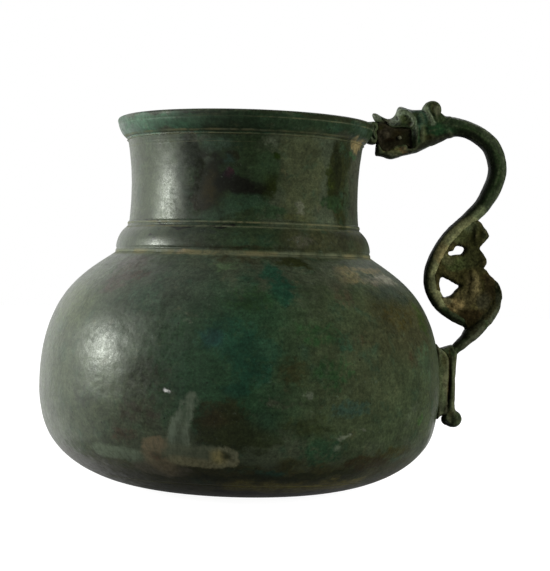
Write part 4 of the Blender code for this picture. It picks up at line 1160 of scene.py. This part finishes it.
def build_handle():
    green = cast_material(
        "Cast bronze, green", (0.011, 0.018, 0.006), (0.024, 0.038, 0.014), (0.03, 0.027, 0.008),
        (0.07, 0.085, 0.042), (0.005, 0.006, 0.002), 0.55, 0.25,
    )
    brown = cast_material(
        "Cast bronze, earthy", (0.026, 0.024, 0.007), (0.056, 0.05, 0.017), (0.075, 0.055, 0.018),
        (0.12, 0.105, 0.048), (0.012, 0.0095, 0.0035), 0.7, 0.15, 1.1,
    )
    crust = cast_material(
        "Dark crust", (0.012, 0.01, 0.005), (0.02, 0.017, 0.009), (0.022, 0.018, 0.008),
        (0.03, 0.026, 0.014), (0.005, 0.004, 0.002), 0.75, 0.15,
    )
    lead = cast_material(
        "Old solder", (0.03, 0.026, 0.01), (0.055, 0.05, 0.022), (0.07, 0.055, 0.022),
        (0.075, 0.08, 0.044), (0.012, 0.012, 0.005), 0.7, 0.18,
    )
    pad = solder_piece("foot_solder", PAD, 4.3, 1.3, [(4.0, 0.25), (1.2, 0.08)])
    lump = blob((51.2, 0, 130.9), (3.1, 3.5, 3.3))
    fill = solder_piece("jaw_filling", FILL, 2.9, 1.0, [(2.6, 0.18), (0.9, 0.06)], [lump])
    lug = solder_piece("rim_lug_cast", LUG, 3.4, 1.2, [(2.5, 0.1)])
    press(lug, LUG_STROKES)
    pieces = (
        (handle_casting(), "handle_casting", "handle_bronze", green, HANDLE_STAINS_AND_SHADING),
        (leaf_scroll(), "leaf_scroll", "leaf_bronze", brown, LEAF_STAINS),
        (foot_strap(), "foot_strap", "handle_bronze", green, STRAP_STAINS_AND_SHADING),
        (pad, "foot_pad", "solder", lead, PAD_STAINS_AND_SHADOW),
        (fill, "jaw_solder", "solder", crust, FILL_STAINS),
        (lug, "rim_lug", "handle_bronze", green, LUG_STAINS),
    )
    for obj, node, slot, material, spots in pieces:
        co = coordinates(obj)
        # the stain layers also carry painted shade and light on the bar and strap, and painted shadow between
        # strap and pad
        stain(obj, "stain", spots, co[:, [0, 2]] + 0.35 * warp(co)[:, [0, 2]])
        show(obj, node, material)


# ---------------- stage, light and camera


def build_stage():
    """A floor that lights nothing but itself, because the jug's underside is dark in its studio."""
    ends = (-1, -1), (1, -1), (1, 1), (-1, 1)
    corners = [(x * FLOOR_HALF, y * FLOOR_HALF, -FLOOR_DEPTH) for x, y in ends]
    floor = make_mesh("floor", corners, [(0, 1, 2, 3)])
    floor.data.materials.append(floor_material())
    floor.visible_diffuse = False
    floor.visible_glossy = False


def build_world():
    """A dim studio, with a white wall behind the jug's left and a narrow white card behind its right.

    The camera sees white paper all round."""
    world = bpy.data.worlds.new("Studio")
    bpy.context.scene.world = world
    n = Nodes(world, "Generated", 1.0)
    wall = n.fade(n.toward(-0.85, 0.5, 0.18), 0.35, 0.95, 0.0, 1.3)
    card = n.fade(n.toward(0.35, 0.9, -0.28), 0.9, 0.98, 0.0, 0.8)
    room = n.fade(n.made("ShaderNodeSeparateXYZ", (n.place,))["Z"], -0.6, 0.1, 0.11, 0.075)
    by_camera = n.made("ShaderNodeLightPath")["Is Camera Ray"]
    seen = n.made("ShaderNodeMix", {0: by_camera, 2: n.plus(n.plus(wall, room), card), 3: 1.0})[0]
    background = n.tree.nodes["Background"]
    n.feed(background.inputs["Strength"], seen)
    n.feed(background.inputs["Color"], (1, 1, 1))


def softbox(name, azimuth, elevation, distance, size, power, gleam=True):
    """A square light that faces the jug. Azimuth 0 is on the camera's side, and -90 on its left.

    Without a gleam it lights the surfaces but leaves no reflection of itself on them."""
    lamp = bpy.data.lights.new(name, "AREA")
    lamp.shape, lamp.size, lamp.size_y, lamp.energy = "RECTANGLE", size[0], size[1], power
    obj = placed(name, lamp)
    obj.visible_glossy = gleam
    a, e = math.radians(azimuth), math.radians(elevation)
    away = Vector((math.sin(a) * math.cos(e), -math.cos(a) * math.cos(e), math.sin(e)))
    obj.location = Vector((0, 0, LAMP_AIM_HEIGHT * MM)) + away * distance
    obj.rotation_mode = "QUATERNION"
    obj.rotation_quaternion = away.to_track_quat(*AIMED)


def build_camera():
    """Level with the neck's foot, a long lens away, and turned so that the jug leans a little."""
    data = bpy.data.cameras.new("camera")
    data.sensor_width, data.lens = 36.0, LENS
    data.clip_start, data.clip_end = 0.01, 20.0
    camera = placed("camera", data)
    eye, aim = Vector(EYE) * MM, Vector(AIM) * MM
    turn = (eye - aim).to_track_quat(*AIMED).to_matrix().to_4x4()
    lean = Matrix.Rotation(math.radians(LEAN), 4, "Z")
    camera.matrix_world = Matrix.Translation(eye) @ turn @ lean
    bpy.context.scene.camera = camera


build_vessel()
build_handle()
build_stage()
build_world()
# azimuth, elevation, distance and size in metres, watts
softbox("key", -81, 12, 0.75, (0.15, 0.2), 4.8)
softbox("fill", 62, 12, 1.0, (0.5, 0.5), 9.6, gleam=False)
softbox("back", 165, 40, 1.0, (0.5, 0.5), 2.0)
build_camera()
bpy.context.scene.view_settings.view_transform = "Standard"
